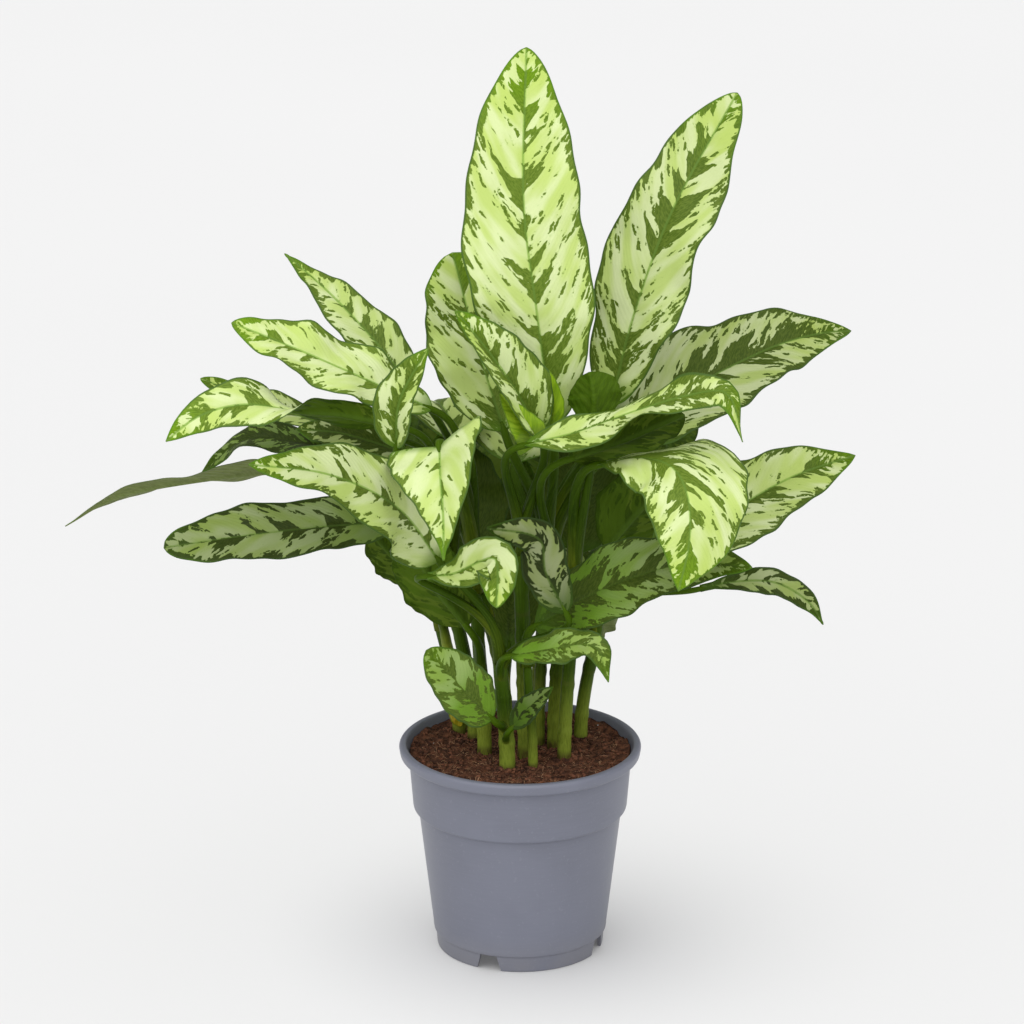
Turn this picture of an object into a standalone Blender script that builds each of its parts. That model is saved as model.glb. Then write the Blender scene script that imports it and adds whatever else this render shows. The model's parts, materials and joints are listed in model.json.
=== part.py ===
"""Potted Chinese evergreen: a nursery pot, its soil, the shoots and one blade for each leaf.

The plant is laid out in millimetres round the pot's axis, with its height above the pot's foot.
The object's origin lies under the middle of the plant's spread, on the surface that the pot stands on.
"""
import math
from dataclasses import dataclass

import bmesh
import bpy
from mathutils import Vector

MM = 0.001

# Where the pot's axis stands, seen from the object's origin
POT_AXIS = (42.5, -14.2)
# What touches keeps this gap
GAP = 0.3

# Pot
POT_HEIGHT = 150.0
RIM_RADIUS = 85.0
MOUTH_RADIUS = 79.3
LIP_HEIGHT = 8.0
# Where the wall starts to turn out into the rim
RIM_TURN_HEIGHT = POT_HEIGHT - LIP_HEIGHT - 3.0
COLLAR_TOP_RADIUS = 78.0
COLLAR_FOOT_RADIUS = 75.2
COLLAR_FOOT_HEIGHT = 105.5
STEP_HEIGHT = 103.5
BODY_TOP_RADIUS = 71.4
BODY_FOOT_RADIUS = 61.0
FOOT_RING_HEIGHT = 12.0
FOOT_RING_RADIUS = 58.6
WALL = 1.7
# How far the slanted corners at the foot step in or down
EDGE_SLANT = 0.6
POT_SIDES = 48
FOOT_NOTCHES = 4
FOOT_NOTCH_TURN = -22.0
FOOT_NOTCH_WIDTH = 18.0
FOOT_NOTCH_TOP_WIDTH = 12.0
# The notches run from inside the foot ring to outside it
FOOT_NOTCH_REACH = (50.0, 70.0)
DRAIN_HOLES = 6
DRAIN_HOLE_RADIUS = 4.5
DRAIN_RING_RADIUS = 38.0
DRAIN_HOLE_SIDES = 12
# How far cutters run on past what they cut
CUT_PAST = 3.0
SHARP_ANGLE = 40.0

# Soil
SOIL_EDGE_HEIGHT = 145.0
SOIL_DISH = 5.3
SOIL_BUMP = 1.5
SOIL_RINGS = 3
STEM_HOLE_FLOOR = 92.0
STEM_HOLE_CLEARANCE = 0.7
STEM_HOLE_SIDES = 10

# Shoots
CANE_SIDES = 8
PETIOLE_SIDES = 6
PETIOLE_STEPS = 5
PETIOLE_BASE_RADIUS = 5.6
PETIOLE_TIP_RADIUS = 2.9
# The straight end that meets the blade
PETIOLE_END = 3.0
# A narrow blade's petiole is slimmer: this share, plus the blade's width over this width
SLIM_SHARE = 0.55
SLIM_WIDTH = 160.0
PETIOLE_FIRST_SIDE = (0.8, 0.6, 0.0)
CANE_SCAR_SPACING = 18.0
CANE_SCAR_SWELL = 1.09
# How much slimmer a cane is at its top
CANE_THINNING = 0.2
# How far up the cane stays upright, and how far down from its top it keeps the top's direction
CANE_UPRIGHT = 0.4
CANE_TOP_UPRIGHT = 0.24

# Blades
BLADE_ROWS = 12
SMALL_BLADE_ROWS = 8
BLADE_COLUMNS = 4
SPINE_STEPS = 24
# How far the right margin's waves lag behind the left one's, in radians
SIDE_LAG = 2.1
FRILL_WAVES = 2.6
BLADE_THICKNESS = 0.8
RIB_THICKNESS = 2.6
BLADE_NECK = 2.6
BLADE_TIP = 0.9
SMALL_BLADE_LENGTH = 132.0


@dataclass
class Shoot:
    """A cane that stands in the soil at foot (x, y) and grows to top (x, y, z)."""

    foot: tuple
    top: tuple
    radius: float


@dataclass
class Leaf:
    """A blade along a spine from its base to its tip, and the shoot that carries its petiole.

    node is how far up its cane the petiole leaves. faces is where the upper side looks at the base
    and at the tip. fold and curl bend the left and right halves up from the rib, in degrees. wave is
    how far the margins rise and fall, waves how often. The blade's half width follows
    s ** shoulder * (1 - s) ** taper along the spine; halves scales its left and right half, and
    frill is how much their outlines swing in and out.
    """

    shoot: str
    node: float
    spine: tuple
    width: float
    faces: tuple = ((0, -1, 0.4), (0, -1, 0.4))
    fold: tuple = (12, 12)
    curl: tuple = (-10, -10)
    wave: float = 2.5
    waves: float = 3.0
    phase: float = 0.0
    shoulder: float = 0.55
    taper: float = 0.85
    reach: tuple = (0.45, 0.3)
    halves: tuple = (1.0, 1.0)
    frill: float = 0.03


SHOOTS = {
    "front": Shoot((-9, -26), (-14, -30, 226), 5.8),
    "centre": Shoot((4, -2), (0, -14, 300), 6.0),
    "yellow": Shoot((25, 18), (30, 12, 262), 6.2),
    "back": Shoot((12, 46), (22, 44, 290), 5.6),
    "right": Shoot((43, 30), (55, 26, 240), 5.0),
    "right_front": Shoot((31, -6), (37, -12, 262), 5.0),
    "left": Shoot((-43, 42), (-62, 34, 262), 5.2),
    "left_inner": Shoot((-32, 31), (-47, 12, 262), 5.4),
    "left_back": Shoot((-10, 60), (-32, 66, 270), 5.0),
    "mid_left": Shoot((-25, 4), (-31, -2, 262), 5.2),
    "mid": Shoot((13, 22), (17, 18, 262), 4.6),
    "slim": Shoot((9, -22), (5, -25, 216), 3.6),
}

LEAVES = {
    "top": Leaf("mid", 1.0, ((22, 4, 380), (11, -8, 466), (2, -6, 543), (4, 14, 643)), 86,
                faces=((0.15, -1, 0.1), (0, -1, 0.1)), fold=(10, 10), curl=(-14, -14), wave=2.0,
                taper=0.65, shoulder=0.58, halves=(1.0, 0.94)),
    "tall_right": Leaf("back", 0.9, ((63, 26, 389), (77, 30, 449), (104, 42, 523), (149, 75, 598)), 66,
                       faces=((-0.3, -1, 0.3), (-0.5, -1, 0.2)), wave=4.0, waves=3.5, phase=0.6,
                       taper=0.62, frill=0.07),
    "behind_top": Leaf("back", 0.7, ((-11, 30, 369), (-29, 48, 422), (-47, 66, 487)), 70,
                       faces=((0.2, -1, 0.2), (0.3, -1, 0.2)), taper=0.55),
    "young_folded": Leaf("centre", 0.95,
                         ((13, -22, 383), (-4, -32, 418), (-23, -36, 447), (-44, -30, 472)), 50,
                         faces=((0.5, -1, 0.5), (0.5, -1, 0.5)), fold=(48, 30), wave=1.0),
    "knob": Leaf("right_front", 0.95, ((50, -20, 389), (50, -18, 408), (47, -10, 423)), 40,
                 faces=((0, 1, 0.3), (0, 1, 0.3)), fold=(30, 30), taper=0.45, wave=1.0),
    "right_mid": Leaf("back", 0.8,
                      ((74, 45, 360), (115, 74, 384), (173, 110, 404), (210, 130, 410), (237, 150, 407)),
                      86, faces=((-0.3, -0.7, 0.8), (0.1, -0.7, 0.8)), wave=3.5, phase=1.0, shoulder=0.35,
                      taper=0.85, halves=(1.0, 0.85)),
    "right_arching": Leaf("centre", 1.0,
                          ((3, -46, 383), (37, -54, 394), (73, -62, 410), (113, -74, 426),
                          (138, -86, 430), (148, -94, 399)), 38, faces=((0, -0.35, 1), (0.6, -0.6, 0.6)),
                          wave=8.0, phase=0.43, waves=1.7, halves=(0.75, 1.0)),
    "right_front": Leaf("right_front", 1.0,
                        ((53, -38, 367), (80, -66, 380), (101, -94, 382), (111, -114, 367),
                        (112, -122, 338), (105, -126, 305)), 78, faces=((-0.2, -0.2, 1), (0.1, -1, 0.2)),
                        wave=3.0, waves=3.5, fold=(-18, 4), halves=(1.25, 0.78), shoulder=1.0,
                        taper=0.95),
    "right_low": Leaf("right", 0.9, ((94, 15, 281), (140, 35, 304), (189, 60, 325), (237, 85, 334)), 63,
                      faces=((-0.3, -0.8, 0.7), (-0.2, -0.8, 0.7)), wave=2.5),
    "lower_right": Leaf("slim", 1.0, ((10, -25, 245), (61, -50, 283), (115, -72, 307), (156, -85, 308)),
                        58, faces=((0, -0.7, 0.8), (0, -0.7, 0.8)), wave=2.5, taper=0.8),
    "twisted_right": Leaf("right", 0.8,
                          ((125, 5, 262), (149, 2, 268), (177, 0, 268), (200, 0, 254), (211, 0, 237)), 19,
                          faces=((0, -0.8, 0.6), (0.4, -0.9, 0.4)), wave=2.0, taper=1.05, shoulder=1.2),
    "olive_right": Leaf("back", 0.45, ((42, 46, 211), (62, 58, 226), (82, 68, 233)), 40,
                        faces=((0, 1, 0.5), (0, 1, 0.5)), taper=0.5),
    "low_right": Leaf("front", 0.6, ((-6, -48, 232), (27, -68, 245), (51, -80, 249), (60, -86, 226)), 26,
                      faces=((0, -0.6, 0.8), (0.5, -0.8, 0.4))),
    "low_left": Leaf("front", 0.2, ((-19, -50, 186), (-39, -66, 214), (-64, -72, 244)), 40,
                     faces=((0.3, -1, 0.5), (0.3, -1, 0.5)), taper=0.6, wave=0.8),
    "tiny": Leaf("front", 0.1, ((-6, -46, 178), (7, -54, 197), (22, -60, 213)), 17,
                 faces=((-0.5, -1, 0.3), (-0.5, -1, 0.3)), wave=0.4),
    "bright_centre": Leaf("front", 1.0,
                          ((-63, -70, 297), (-45, -80, 302), (-27, -90, 314), (-16, -96, 316),
                          (-16, -97, 283)), 30, faces=((0, -0.8, 0.6), (0, -1, 0.2)), wave=2.0,
                          halves=(1.0, 1.0), shoulder=0.9, taper=0.7),
    "dull_centre": Leaf("front", 0.75, ((31, -60, 267), (17, -66, 298), (12, -68, 323), (-23, -76, 333)),
                        31, faces=((0, -1, 0.2), (0, -1, 0.2))),
    "folded_left": Leaf("mid_left", 1.0,
                        ((-54, -92, 396), (-53, -124, 384), (-51, -138, 359), (-51, -142, 332)), 78,
                        faces=((0, -0.6, 0.8), (0, -1, 0.2)), fold=(50, 0), wave=1.5, shoulder=0.2,
                        taper=1.3, halves=(1.0, 0.92)),
    "small_upright": Leaf("left_inner", 0.98, ((-84, -54, 383), (-81, -56, 417), (-62, -52, 452)), 34,
                          faces=((-0.2, -1, 0.3), (-0.2, -1, 0.3)), fold=(20, 50), wave=1.0),
    "upper_left": Leaf("left_back", 1.0,
                       ((-73, 32, 399), (-106, 60, 431), (-135, 90, 453), (-166, 120, 472)), 38,
                       faces=((0.2, -0.8, 0.8), (0.1, -0.8, 0.8)), wave=2.5, taper=1.15),
    "left_mid": Leaf("left_inner", 1.0,
                     ((-61, 8, 392), (-103, 0, 414), (-150, -8, 438), (-196, -10, 458)), 50,
                     faces=((0.1, -0.6, 0.9), (0.1, -0.6, 0.9)), wave=4.0, taper=0.65, frill=0.07),
    "left_arching": Leaf("left", 1.0,
                         ((-84, -14, 386), (-123, -22, 397), (-150, -28, 401), (-186, -36, 408),
                         (-217, -40, 401), (-240, -44, 384)), 40, faces=((0, 1.4, 0.4),
                         (-0.3, -1.6, 0.6)), wave=2.5, shoulder=0.9, taper=0.9),
    "left_back": Leaf("left_back", 0.9,
                      ((-86, 64, 353), (-134, 86, 356), (-183, 104, 367), (-227, 118, 381)), 30,
                      faces=((0, -0.3, 1), (0, -0.3, 1)), taper=0.55),
    "left_under": Leaf("left", 0.9, ((-82, 22, 349), (-139, 30, 358), (-188, 36, 362), (-222, 40, 336)),
                       34, faces=((0, -0.25, 1), (-0.2, -0.4, 1)), taper=0.8),
    "left_inner": Leaf("left", 0.8, ((-80, 16, 358), (-121, 22, 369), (-155, 28, 371)), 40,
                       faces=((0, -0.6, 0.9), (0, -0.6, 0.9))),
    "left_front": Leaf("front", 0.9,
                       ((-55, -62, 305), (-82, -105, 357), (-125, -140, 391), (-177, -165, 406)), 58,
                       faces=((-0.2, -0.9, 0.7), (-0.2, -0.7, 0.8)), wave=3.0),
    "long_left": Leaf("left_back", 0.8,
                      ((-89, 44, 333), (-161, 56, 332), (-222, 64, 323), (-284, 70, 308),
                      (-322, 74, 285)), 44, faces=((0, 0.55, 1), (0, 0.55, 1)), wave=2.0, taper=1.1),
    "lower_left": Leaf("left", 0.6,
                       ((-75, -4, 314), (-127, -25, 318), (-184, -45, 318), (-242, -58, 313)), 47,
                       faces=((0, -0.7, 0.9), (0, -0.7, 0.9)), wave=2.5, taper=0.5, shoulder=0.6),
    "hanging_left": Leaf("mid_left", 0.4, ((-37, -22, 244), (-61, -28, 279), (-76, -24, 311)), 50,
                         faces=((0.2, 1, 0), (0.2, 1, 0)), taper=0.5),
    "hanging_back": Leaf("left", 0.3, ((-72, 16, 264), (-88, 20, 280), (-105, 26, 298)), 36,
                         faces=((0.2, 1, 0), (0.2, 1, 0)), taper=0.6),
    "under_arching": Leaf("yellow", 0.7, ((34, -32, 369), (71, -36, 383), (111, -40, 402)), 46,
                          faces=((0.1, 0.9, 0.5), (0.1, 0.9, 0.5)), taper=0.6),
    "back_left": Leaf("left_back", 0.7,
                      ((-40, 82, 345), (-58, 122, 362), (-74, 164, 338), (-84, 190, 285)), 76,
                      faces=((0, 0.1, 1), (-0.2, 1, 0.3)), wave=3.0),
    "back_centre": Leaf("back", 0.6, ((-4, 80, 330), (0, 122, 342), (0, 166, 314), (2, 194, 258)), 80,
                        faces=((0, 0.1, 1), (0, 1, 0.3)), wave=3.0, phase=1.0),
    "back_right": Leaf("back", 0.95, ((52, 78, 345), (76, 118, 362), (100, 158, 340), (114, 186, 290)),
                       76, faces=((0, 0.1, 1), (0.2, 1, 0.3)), wave=3.0, phase=2.0),
    "back_inner_left": Leaf("left_back", 0.55, ((-32, 84, 262), (-42, 104, 302), (-56, 128, 340)), 62,
                            faces=((0.2, -1, 0.6), (0.2, -1, 0.6))),
    "back_inner_mid": Leaf("left_back", 0.12, ((-8, 90, 186), (-4, 104, 248), (4, 132, 316)), 56,
                           faces=((0, -1, 0.6), (0, -1, 0.6))),
    "back_inner_right": Leaf("back", 0.5, ((42, 84, 262), (46, 104, 304), (50, 124, 350)), 60,
                             faces=((-0.2, -1, 0.6), (-0.2, -1, 0.6))),
    "back_low": Leaf("back", 0.35, ((46, 94, 244), (53, 124, 254), (58, 152, 234), (62, 170, 198)), 56,
                     faces=((0, 0.1, 1), (0, 1, 0.3))),
    "green_right": Leaf("right", 0.7, ((60, 44, 278), (84, 60, 301), (110, 74, 322)), 60,
                        faces=((0.2, 1, 0.3), (0.2, 1, 0.3)), taper=0.6),
}


def principled(name, colour, roughness, metallic=0.0):
    material = bpy.data.materials.new(name)
    material.use_nodes = True
    shader = material.node_tree.nodes["Principled BSDF"]
    shader.inputs["Base Color"].default_value = (*colour, 1.0)
    shader.inputs["Roughness"].default_value = roughness
    shader.inputs["Metallic"].default_value = metallic
    material.diffuse_color = (*colour, 1.0)
    return material


def new_object(name, bm, material, parent):
    """Turn a bmesh laid out in millimetres round the pot's axis into an object in metres."""
    bmesh.ops.scale(bm, vec=(MM, MM, MM), verts=bm.verts)
    bmesh.ops.recalc_face_normals(bm, faces=bm.faces)
    mesh = bpy.data.meshes.new(name)
    bm.to_mesh(mesh)
    bm.free()
    mesh.materials.append(material)
    mesh.shade_smooth()
    mesh.set_sharp_from_angle(angle=math.radians(SHARP_ANGLE))
    thing = bpy.data.objects.new(name, mesh)
    bpy.context.scene.collection.objects.link(thing)
    thing.parent = parent
    return thing


def revolved(profile, sides):
    """Spin a closed (radius, height) outline round the pot's axis; points on the axis become one."""
    bm = bmesh.new()
    turns = [2 * math.pi * (k + 0.5) / sides for k in range(sides)]
    rings = []
    for radius, height in profile:
        rings.append([bm.verts.new((radius * math.cos(a), radius * math.sin(a), height)) for a in turns])
    for lower, upper in zip(rings, rings[1:] + rings[:1]):
        for k in range(sides):
            n = (k + 1) % sides
            bm.faces.new((lower[k], lower[n], upper[n], upper[k]))
    bmesh.ops.remove_doubles(bm, verts=bm.verts, dist=1e-5)
    return bm


def inner_radius(height):
    """The pot's inside radius at a height, on the way from the floor up to the mouth."""
    stations = (
        (FOOT_RING_HEIGHT + WALL, BODY_FOOT_RADIUS - WALL),
        (STEP_HEIGHT, BODY_TOP_RADIUS - WALL),
        (COLLAR_FOOT_HEIGHT, COLLAR_FOOT_RADIUS - WALL),
        (RIM_TURN_HEIGHT, COLLAR_TOP_RADIUS - WALL),
        (POT_HEIGHT - 1, MOUTH_RADIUS),
    )
    for (low, r_low), (high, r_high) in zip(stations, stations[1:]):
        if height <= high:
            return r_low + (r_high - r_low) * (height - low) / (high - low)
    return MOUTH_RADIUS


def apply_cut(thing, cutter):
    """Take the cutter's volume away from the object and drop the cutter."""
    cut = thing.modifiers.new("cut", "BOOLEAN")
    cut.operation = "DIFFERENCE"
    cut.object = cutter
    cut.solver = "EXACT"
    bpy.context.view_layer.update()
    depsgraph = bpy.context.evaluated_depsgraph_get()
    mesh = bpy.data.meshes.new_from_object(thing.evaluated_get(depsgraph))
    thing.modifiers.remove(cut)
    thing.data = mesh
    bpy.data.objects.remove(cutter)


def add_tube(bm, centres, radii, sides, first_side=(1.0, 0.0, 0.0)):
    """Sweep a round section along a path, with closed ends."""
    count = len(centres)
    side = Vector(first_side)
    rings = []
    for k, (centre, radius) in enumerate(zip(centres, radii)):
        ahead = (centres[min(k + 1, count - 1)] - centres[max(k - 1, 0)]).normalized()
        if k == count - 1:
            ahead = (centres[k] - centres[k - 1]).normalized()
        side = (side - ahead * side.dot(ahead)).normalized()
        other = ahead.cross(side)
        ring = []
        for n in range(sides):
            a = 2 * math.pi * n / sides
            ring.append(bm.verts.new(centre + (side * math.cos(a) + other * math.sin(a)) * radius))
        rings.append(ring)
    for low, high in zip(rings, rings[1:]):
        for n in range(sides):
            m = (n + 1) % sides
            bm.faces.new((low[n], low[m], high[m], high[n]))
    bm.faces.new(list(reversed(rings[0])))
    bm.faces.new(rings[-1])


def bezier(p0, p1, p2, p3, steps):
    """Points of a cubic curve from p0 to p3, in equal steps of its parameter."""
    points = []
    for k in range(steps + 1):
        t = k / steps
        u = 1 - t
        points.append(p0 * u**3 + p1 * 3 * u * u * t + p2 * 3 * u * t * t + p3 * t**3)
    return points


def smooth_path(points, steps):
    """A smooth curve through the spine's points, in equal steps of its length."""
    pts = [Vector(p) for p in points]
    ends = [pts[0] * 2 - pts[1]] + pts + [pts[-1] * 2 - pts[-2]]
    fine = []
    for a, b, c, d in zip(ends, ends[1:], ends[2:], ends[3:]):
        for k in range(16):
            t = k / 16
            fine.append(0.5 * (2 * b + (c - a) * t + (2 * a - 5 * b + 4 * c - d) * t * t
                               + (3 * b - a - 3 * c + d) * t**3))
    fine.append(pts[-1])
    lengths = [0.0]
    for a, b in zip(fine, fine[1:]):
        lengths.append(lengths[-1] + (b - a).length)
    path = []
    k = 0
    for n in range(steps + 1):
        want = lengths[-1] * n / steps
        while k < len(fine) - 2 and lengths[k + 1] < want:
            k += 1
        t = (want - lengths[k]) / (lengths[k + 1] - lengths[k])
        path.append(fine[k].lerp(fine[k + 1], t))
    return path, lengths[-1]


def half_width(leaf, s, half):
    """How far one half of the blade, 0 left or 1 right, reaches at s, from 0 at base to 1 at tip."""
    peak = leaf.shoulder / (leaf.shoulder + leaf.taper)
    top = peak**leaf.shoulder * (1 - peak)**leaf.taper
    neck = BLADE_NECK + (BLADE_TIP - BLADE_NECK) * s
    frill = 1 + leaf.frill * math.sin(2 * math.pi * FRILL_WAVES * s + leaf.phase + half * SIDE_LAG)
    reach = leaf.width / 2 * leaf.halves[half] * frill
    return max(neck, reach * s**leaf.shoulder * (1 - s)**leaf.taper / top)


def row_place(share):
    """Rows lie closer together towards the base and the tip, where the outline turns."""
    return 0.5 * share + 0.25 * (1 - math.cos(math.pi * share))


def leaf_frame(leaf, path, s):
    """Centre, direction, upper side and right hand side of a blade at s, from 0 at base to 1 at tip."""
    place = s * (len(path) - 1)
    k = min(int(place), len(path) - 2)
    centre = path[k].lerp(path[k + 1], place - k)
    before, after = path[max(k - 1, 0)], path[min(k + 2, len(path) - 1)]
    ahead = (path[k + 1] - before).normalized().lerp((after - path[k]).normalized(), place - k)
    ahead.normalize()
    face = Vector(leaf.faces[0]).lerp(Vector(leaf.faces[1]), s)
    up = (face - ahead * face.dot(ahead)).normalized()
    return centre, ahead, up, ahead.cross(up)


def leaf_section(leaf, frame, s, v):
    """A point of the upper face and the face's direction there; v runs from -1 left to 1 right."""
    centre, _, up, right = frame
    half = 0 if v < 0 else 1
    hand = -1 if v < 0 else 1
    reach = abs(v) * half_width(leaf, s, half)
    rise = math.radians(leaf.fold[half] + leaf.curl[half] * abs(v) / 2)
    tilt = math.radians(leaf.fold[half] + leaf.curl[half] * abs(v))
    beat = math.sin(2 * math.pi * leaf.waves * s + leaf.phase + half * SIDE_LAG)
    wave = leaf.wave * abs(v)**1.5 * beat * math.sin(math.pi * s)**0.7
    point = centre + right * (hand * reach * math.cos(rise)) + up * (reach * math.sin(rise) + wave)
    if v == 0:
        return point, up
    return point, (up * math.cos(tilt) - right * (hand * math.sin(tilt))).normalized()


def build_blade(name, leaf, material, parent):
    """One closed sheet: an upper and a lower face, thicker along the rib."""
    length = smooth_path(leaf.spine, 4)[1]
    rows = SMALL_BLADE_ROWS if length < SMALL_BLADE_LENGTH else BLADE_ROWS
    path = smooth_path(leaf.spine, SPINE_STEPS)[0]
    bm = bmesh.new()
    upper, lower = [], []
    for k in range(rows + 1):
        s = row_place(k / rows)
        frame = leaf_frame(leaf, path, s)
        top_row, low_row = [], []
        for n in range(BLADE_COLUMNS + 1):
            v = 2 * n / BLADE_COLUMNS - 1
            point, face = leaf_section(leaf, frame, s, v)
            thick = BLADE_THICKNESS
            if v == 0:
                thick = RIB_THICKNESS + (BLADE_THICKNESS - RIB_THICKNESS) * s**0.6
            top_row.append(bm.verts.new(point))
            low_row.append(bm.verts.new(point - face * thick))
        upper.append(top_row)
        lower.append(low_row)
    for k in range(rows):
        for n in range(BLADE_COLUMNS):
            a, b, c, d = (k, n), (k, n + 1), (k + 1, n + 1), (k + 1, n)
            halves = ((a, b, c), (a, c, d)) if n < BLADE_COLUMNS // 2 else ((a, b, d), (b, c, d))
            for half in halves:
                bm.faces.new([upper[i][j] for i, j in half])
                bm.faces.new([lower[i][j] for i, j in reversed(half)])
        for n in (0, BLADE_COLUMNS):
            bm.faces.new((upper[k][n], upper[k + 1][n], lower[k + 1][n]))
            bm.faces.new((upper[k][n], lower[k + 1][n], lower[k][n]))
    for k in (0, rows):
        for n in range(BLADE_COLUMNS):
            bm.faces.new((upper[k][n], upper[k][n + 1], lower[k][n + 1], lower[k][n]))
    return new_object("leaf_" + name, bm, material, parent)


def cane_path(shoot):
    """The cane's centre line: upright in its hole, then leaning to its top."""
    foot = Vector((*shoot.foot, 0))
    top = Vector(shoot.top)
    out = Vector((*shoot.foot, SOIL_EDGE_HEIGHT - SOIL_DISH + 2))
    rise = Vector((0, 0, top.z - out.z))
    bottom = Vector((foot.x, foot.y, STEM_HOLE_FLOOR + GAP))
    steps = max(4, round(rise.z / CANE_SCAR_SPACING))
    return [bottom] + bezier(out, out + rise * CANE_UPRIGHT, top - rise * CANE_TOP_UPRIGHT, top, steps)


def point_along(path, share):
    """The point and direction a share of the way from the soil to the path's end."""
    run = path[1:]
    place = share * (len(run) - 1)
    k = min(int(place), len(run) - 2)
    ahead = (run[k + 1] - run[k]).normalized()
    return run[k].lerp(run[k + 1], place - k), ahead


def petiole_path(leaf, cane):
    """From inside the cane up and out to the blade's base."""
    start, ahead = point_along(cane, leaf.node)
    base, arrive, up, _ = leaf_frame(leaf, smooth_path(leaf.spine, SPINE_STEPS)[0], 0)
    base = base - up * (RIB_THICKNESS / 2) - arrive * GAP
    meet = base - arrive * PETIOLE_END
    stretch = (meet - start).length
    first = start + ahead * stretch * leaf.reach[0]
    last = meet - arrive * stretch * leaf.reach[1]
    return bezier(start, first, last, meet, PETIOLE_STEPS) + [base]


def build_shoot(name, shoot, leaves, material, parent):
    """A cane joined with the petioles of the blades that it carries."""
    cane = cane_path(shoot)
    pieces = bpy.data.collections.new("pieces of " + name)
    bpy.context.scene.collection.children.link(pieces)
    bm = bmesh.new()
    radii = []
    for k in range(len(cane)):
        swell = CANE_SCAR_SWELL if k > 1 and k % 2 else 1.0
        radii.append(shoot.radius * swell * (1 - CANE_THINNING * k / len(cane)))
    radii[0] = radii[1] = shoot.radius
    add_tube(bm, cane, radii, CANE_SIDES)
    thing = new_object("shoot_" + name, bm, material, parent)
    for leaf in leaves:
        path = petiole_path(leaf, cane)
        slim = min(1.0, SLIM_SHARE + leaf.width / SLIM_WIDTH)
        radii = []
        for k in range(len(path)):
            share = k / (len(path) - 1)
            radii.append(slim * (PETIOLE_TIP_RADIUS
                                 + (PETIOLE_BASE_RADIUS - PETIOLE_TIP_RADIUS) * (1 - share)**1.5))
        bm = bmesh.new()
        add_tube(bm, path, radii, PETIOLE_SIDES, PETIOLE_FIRST_SIDE)
        piece = new_object("petiole", bm, material, parent)
        bpy.context.scene.collection.objects.unlink(piece)
        pieces.objects.link(piece)
    join = thing.modifiers.new("join", "BOOLEAN")
    join.operation = "UNION"
    join.operand_type = "COLLECTION"
    join.collection = pieces
    join.solver = "EXACT"
    bpy.context.view_layer.update()
    depsgraph = bpy.context.evaluated_depsgraph_get()
    joined = bpy.data.meshes.new_from_object(thing.evaluated_get(depsgraph))
    thing.modifiers.remove(join)
    thing.data = joined
    for piece in list(pieces.objects):
        bpy.data.objects.remove(piece)
    bpy.data.collections.remove(pieces)
    return thing


def pot_profile():
    """The pot's section, from the foot ring's inner edge round the outside and down the inside."""
    foot_inner = FOOT_RING_RADIUS - WALL - EDGE_SLANT
    lip_foot = POT_HEIGHT - LIP_HEIGHT
    return [
        (foot_inner, 0), (FOOT_RING_RADIUS, 0),
        (BODY_FOOT_RADIUS - 2 * EDGE_SLANT, FOOT_RING_HEIGHT - EDGE_SLANT),
        (BODY_FOOT_RADIUS, FOOT_RING_HEIGHT + EDGE_SLANT), (BODY_TOP_RADIUS, STEP_HEIGHT - WALL),
        (COLLAR_FOOT_RADIUS, COLLAR_FOOT_HEIGHT - WALL), (COLLAR_TOP_RADIUS, RIM_TURN_HEIGHT),
        (RIM_RADIUS - 1, lip_foot), (RIM_RADIUS, POT_HEIGHT - 2), (RIM_RADIUS - 1, POT_HEIGHT),
        (MOUTH_RADIUS + 1, POT_HEIGHT), (MOUTH_RADIUS, POT_HEIGHT - 1),
        (COLLAR_TOP_RADIUS - WALL, RIM_TURN_HEIGHT), (COLLAR_FOOT_RADIUS - WALL, COLLAR_FOOT_HEIGHT),
        (BODY_TOP_RADIUS - WALL, STEP_HEIGHT), (BODY_FOOT_RADIUS - WALL, FOOT_RING_HEIGHT + WALL),
        (0.0, FOOT_RING_HEIGHT + WALL), (0.0, FOOT_RING_HEIGHT - EDGE_SLANT),
        (foot_inner, FOOT_RING_HEIGHT - EDGE_SLANT),
    ]


def notch_cutters():
    """Wedges that cut the foot ring's notches, narrower at the top."""
    bm = bmesh.new()
    low, high = -CUT_PAST, FOOT_RING_HEIGHT - EDGE_SLANT
    near, far = FOOT_NOTCH_REACH
    spread = (FOOT_NOTCH_WIDTH - FOOT_NOTCH_TOP_WIDTH) / 2 / high
    for k in range(FOOT_NOTCHES):
        turn = math.radians(FOOT_NOTCH_TURN - 90 + 360 / FOOT_NOTCHES * k)
        out = Vector((math.cos(turn), math.sin(turn), 0))
        side = Vector((-math.sin(turn), math.cos(turn), 0))
        corners = []
        for height in (low, high):
            half = FOOT_NOTCH_TOP_WIDTH / 2 + spread * (high - height)
            for reach, hand in ((near, -1), (far, -1), (far, 1), (near, 1)):
                point = out * reach + side * (half * hand) + Vector((0, 0, height))
                corners.append(bm.verts.new(point))
        bottom, top = corners[:4], corners[4:]
        bm.faces.new(reversed(bottom))
        bm.faces.new(top)
        for n in range(4):
            m = (n + 1) % 4
            bm.faces.new((bottom[n], bottom[m], top[m], top[n]))
    return bm


def drain_cutters():
    """Pegs that cut the holes in the pot's floor."""
    bm = bmesh.new()
    low = Vector((0, 0, FOOT_RING_HEIGHT - EDGE_SLANT - CUT_PAST))
    high = Vector((0, 0, FOOT_RING_HEIGHT + WALL + CUT_PAST))
    for k in range(DRAIN_HOLES):
        turn = 2 * math.pi * (k + 0.5) / DRAIN_HOLES
        place = Vector((math.cos(turn), math.sin(turn), 0)) * DRAIN_RING_RADIUS
        add_tube(bm, [low + place, high + place], [DRAIN_HOLE_RADIUS] * 2, DRAIN_HOLE_SIDES)
    return bm


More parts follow.
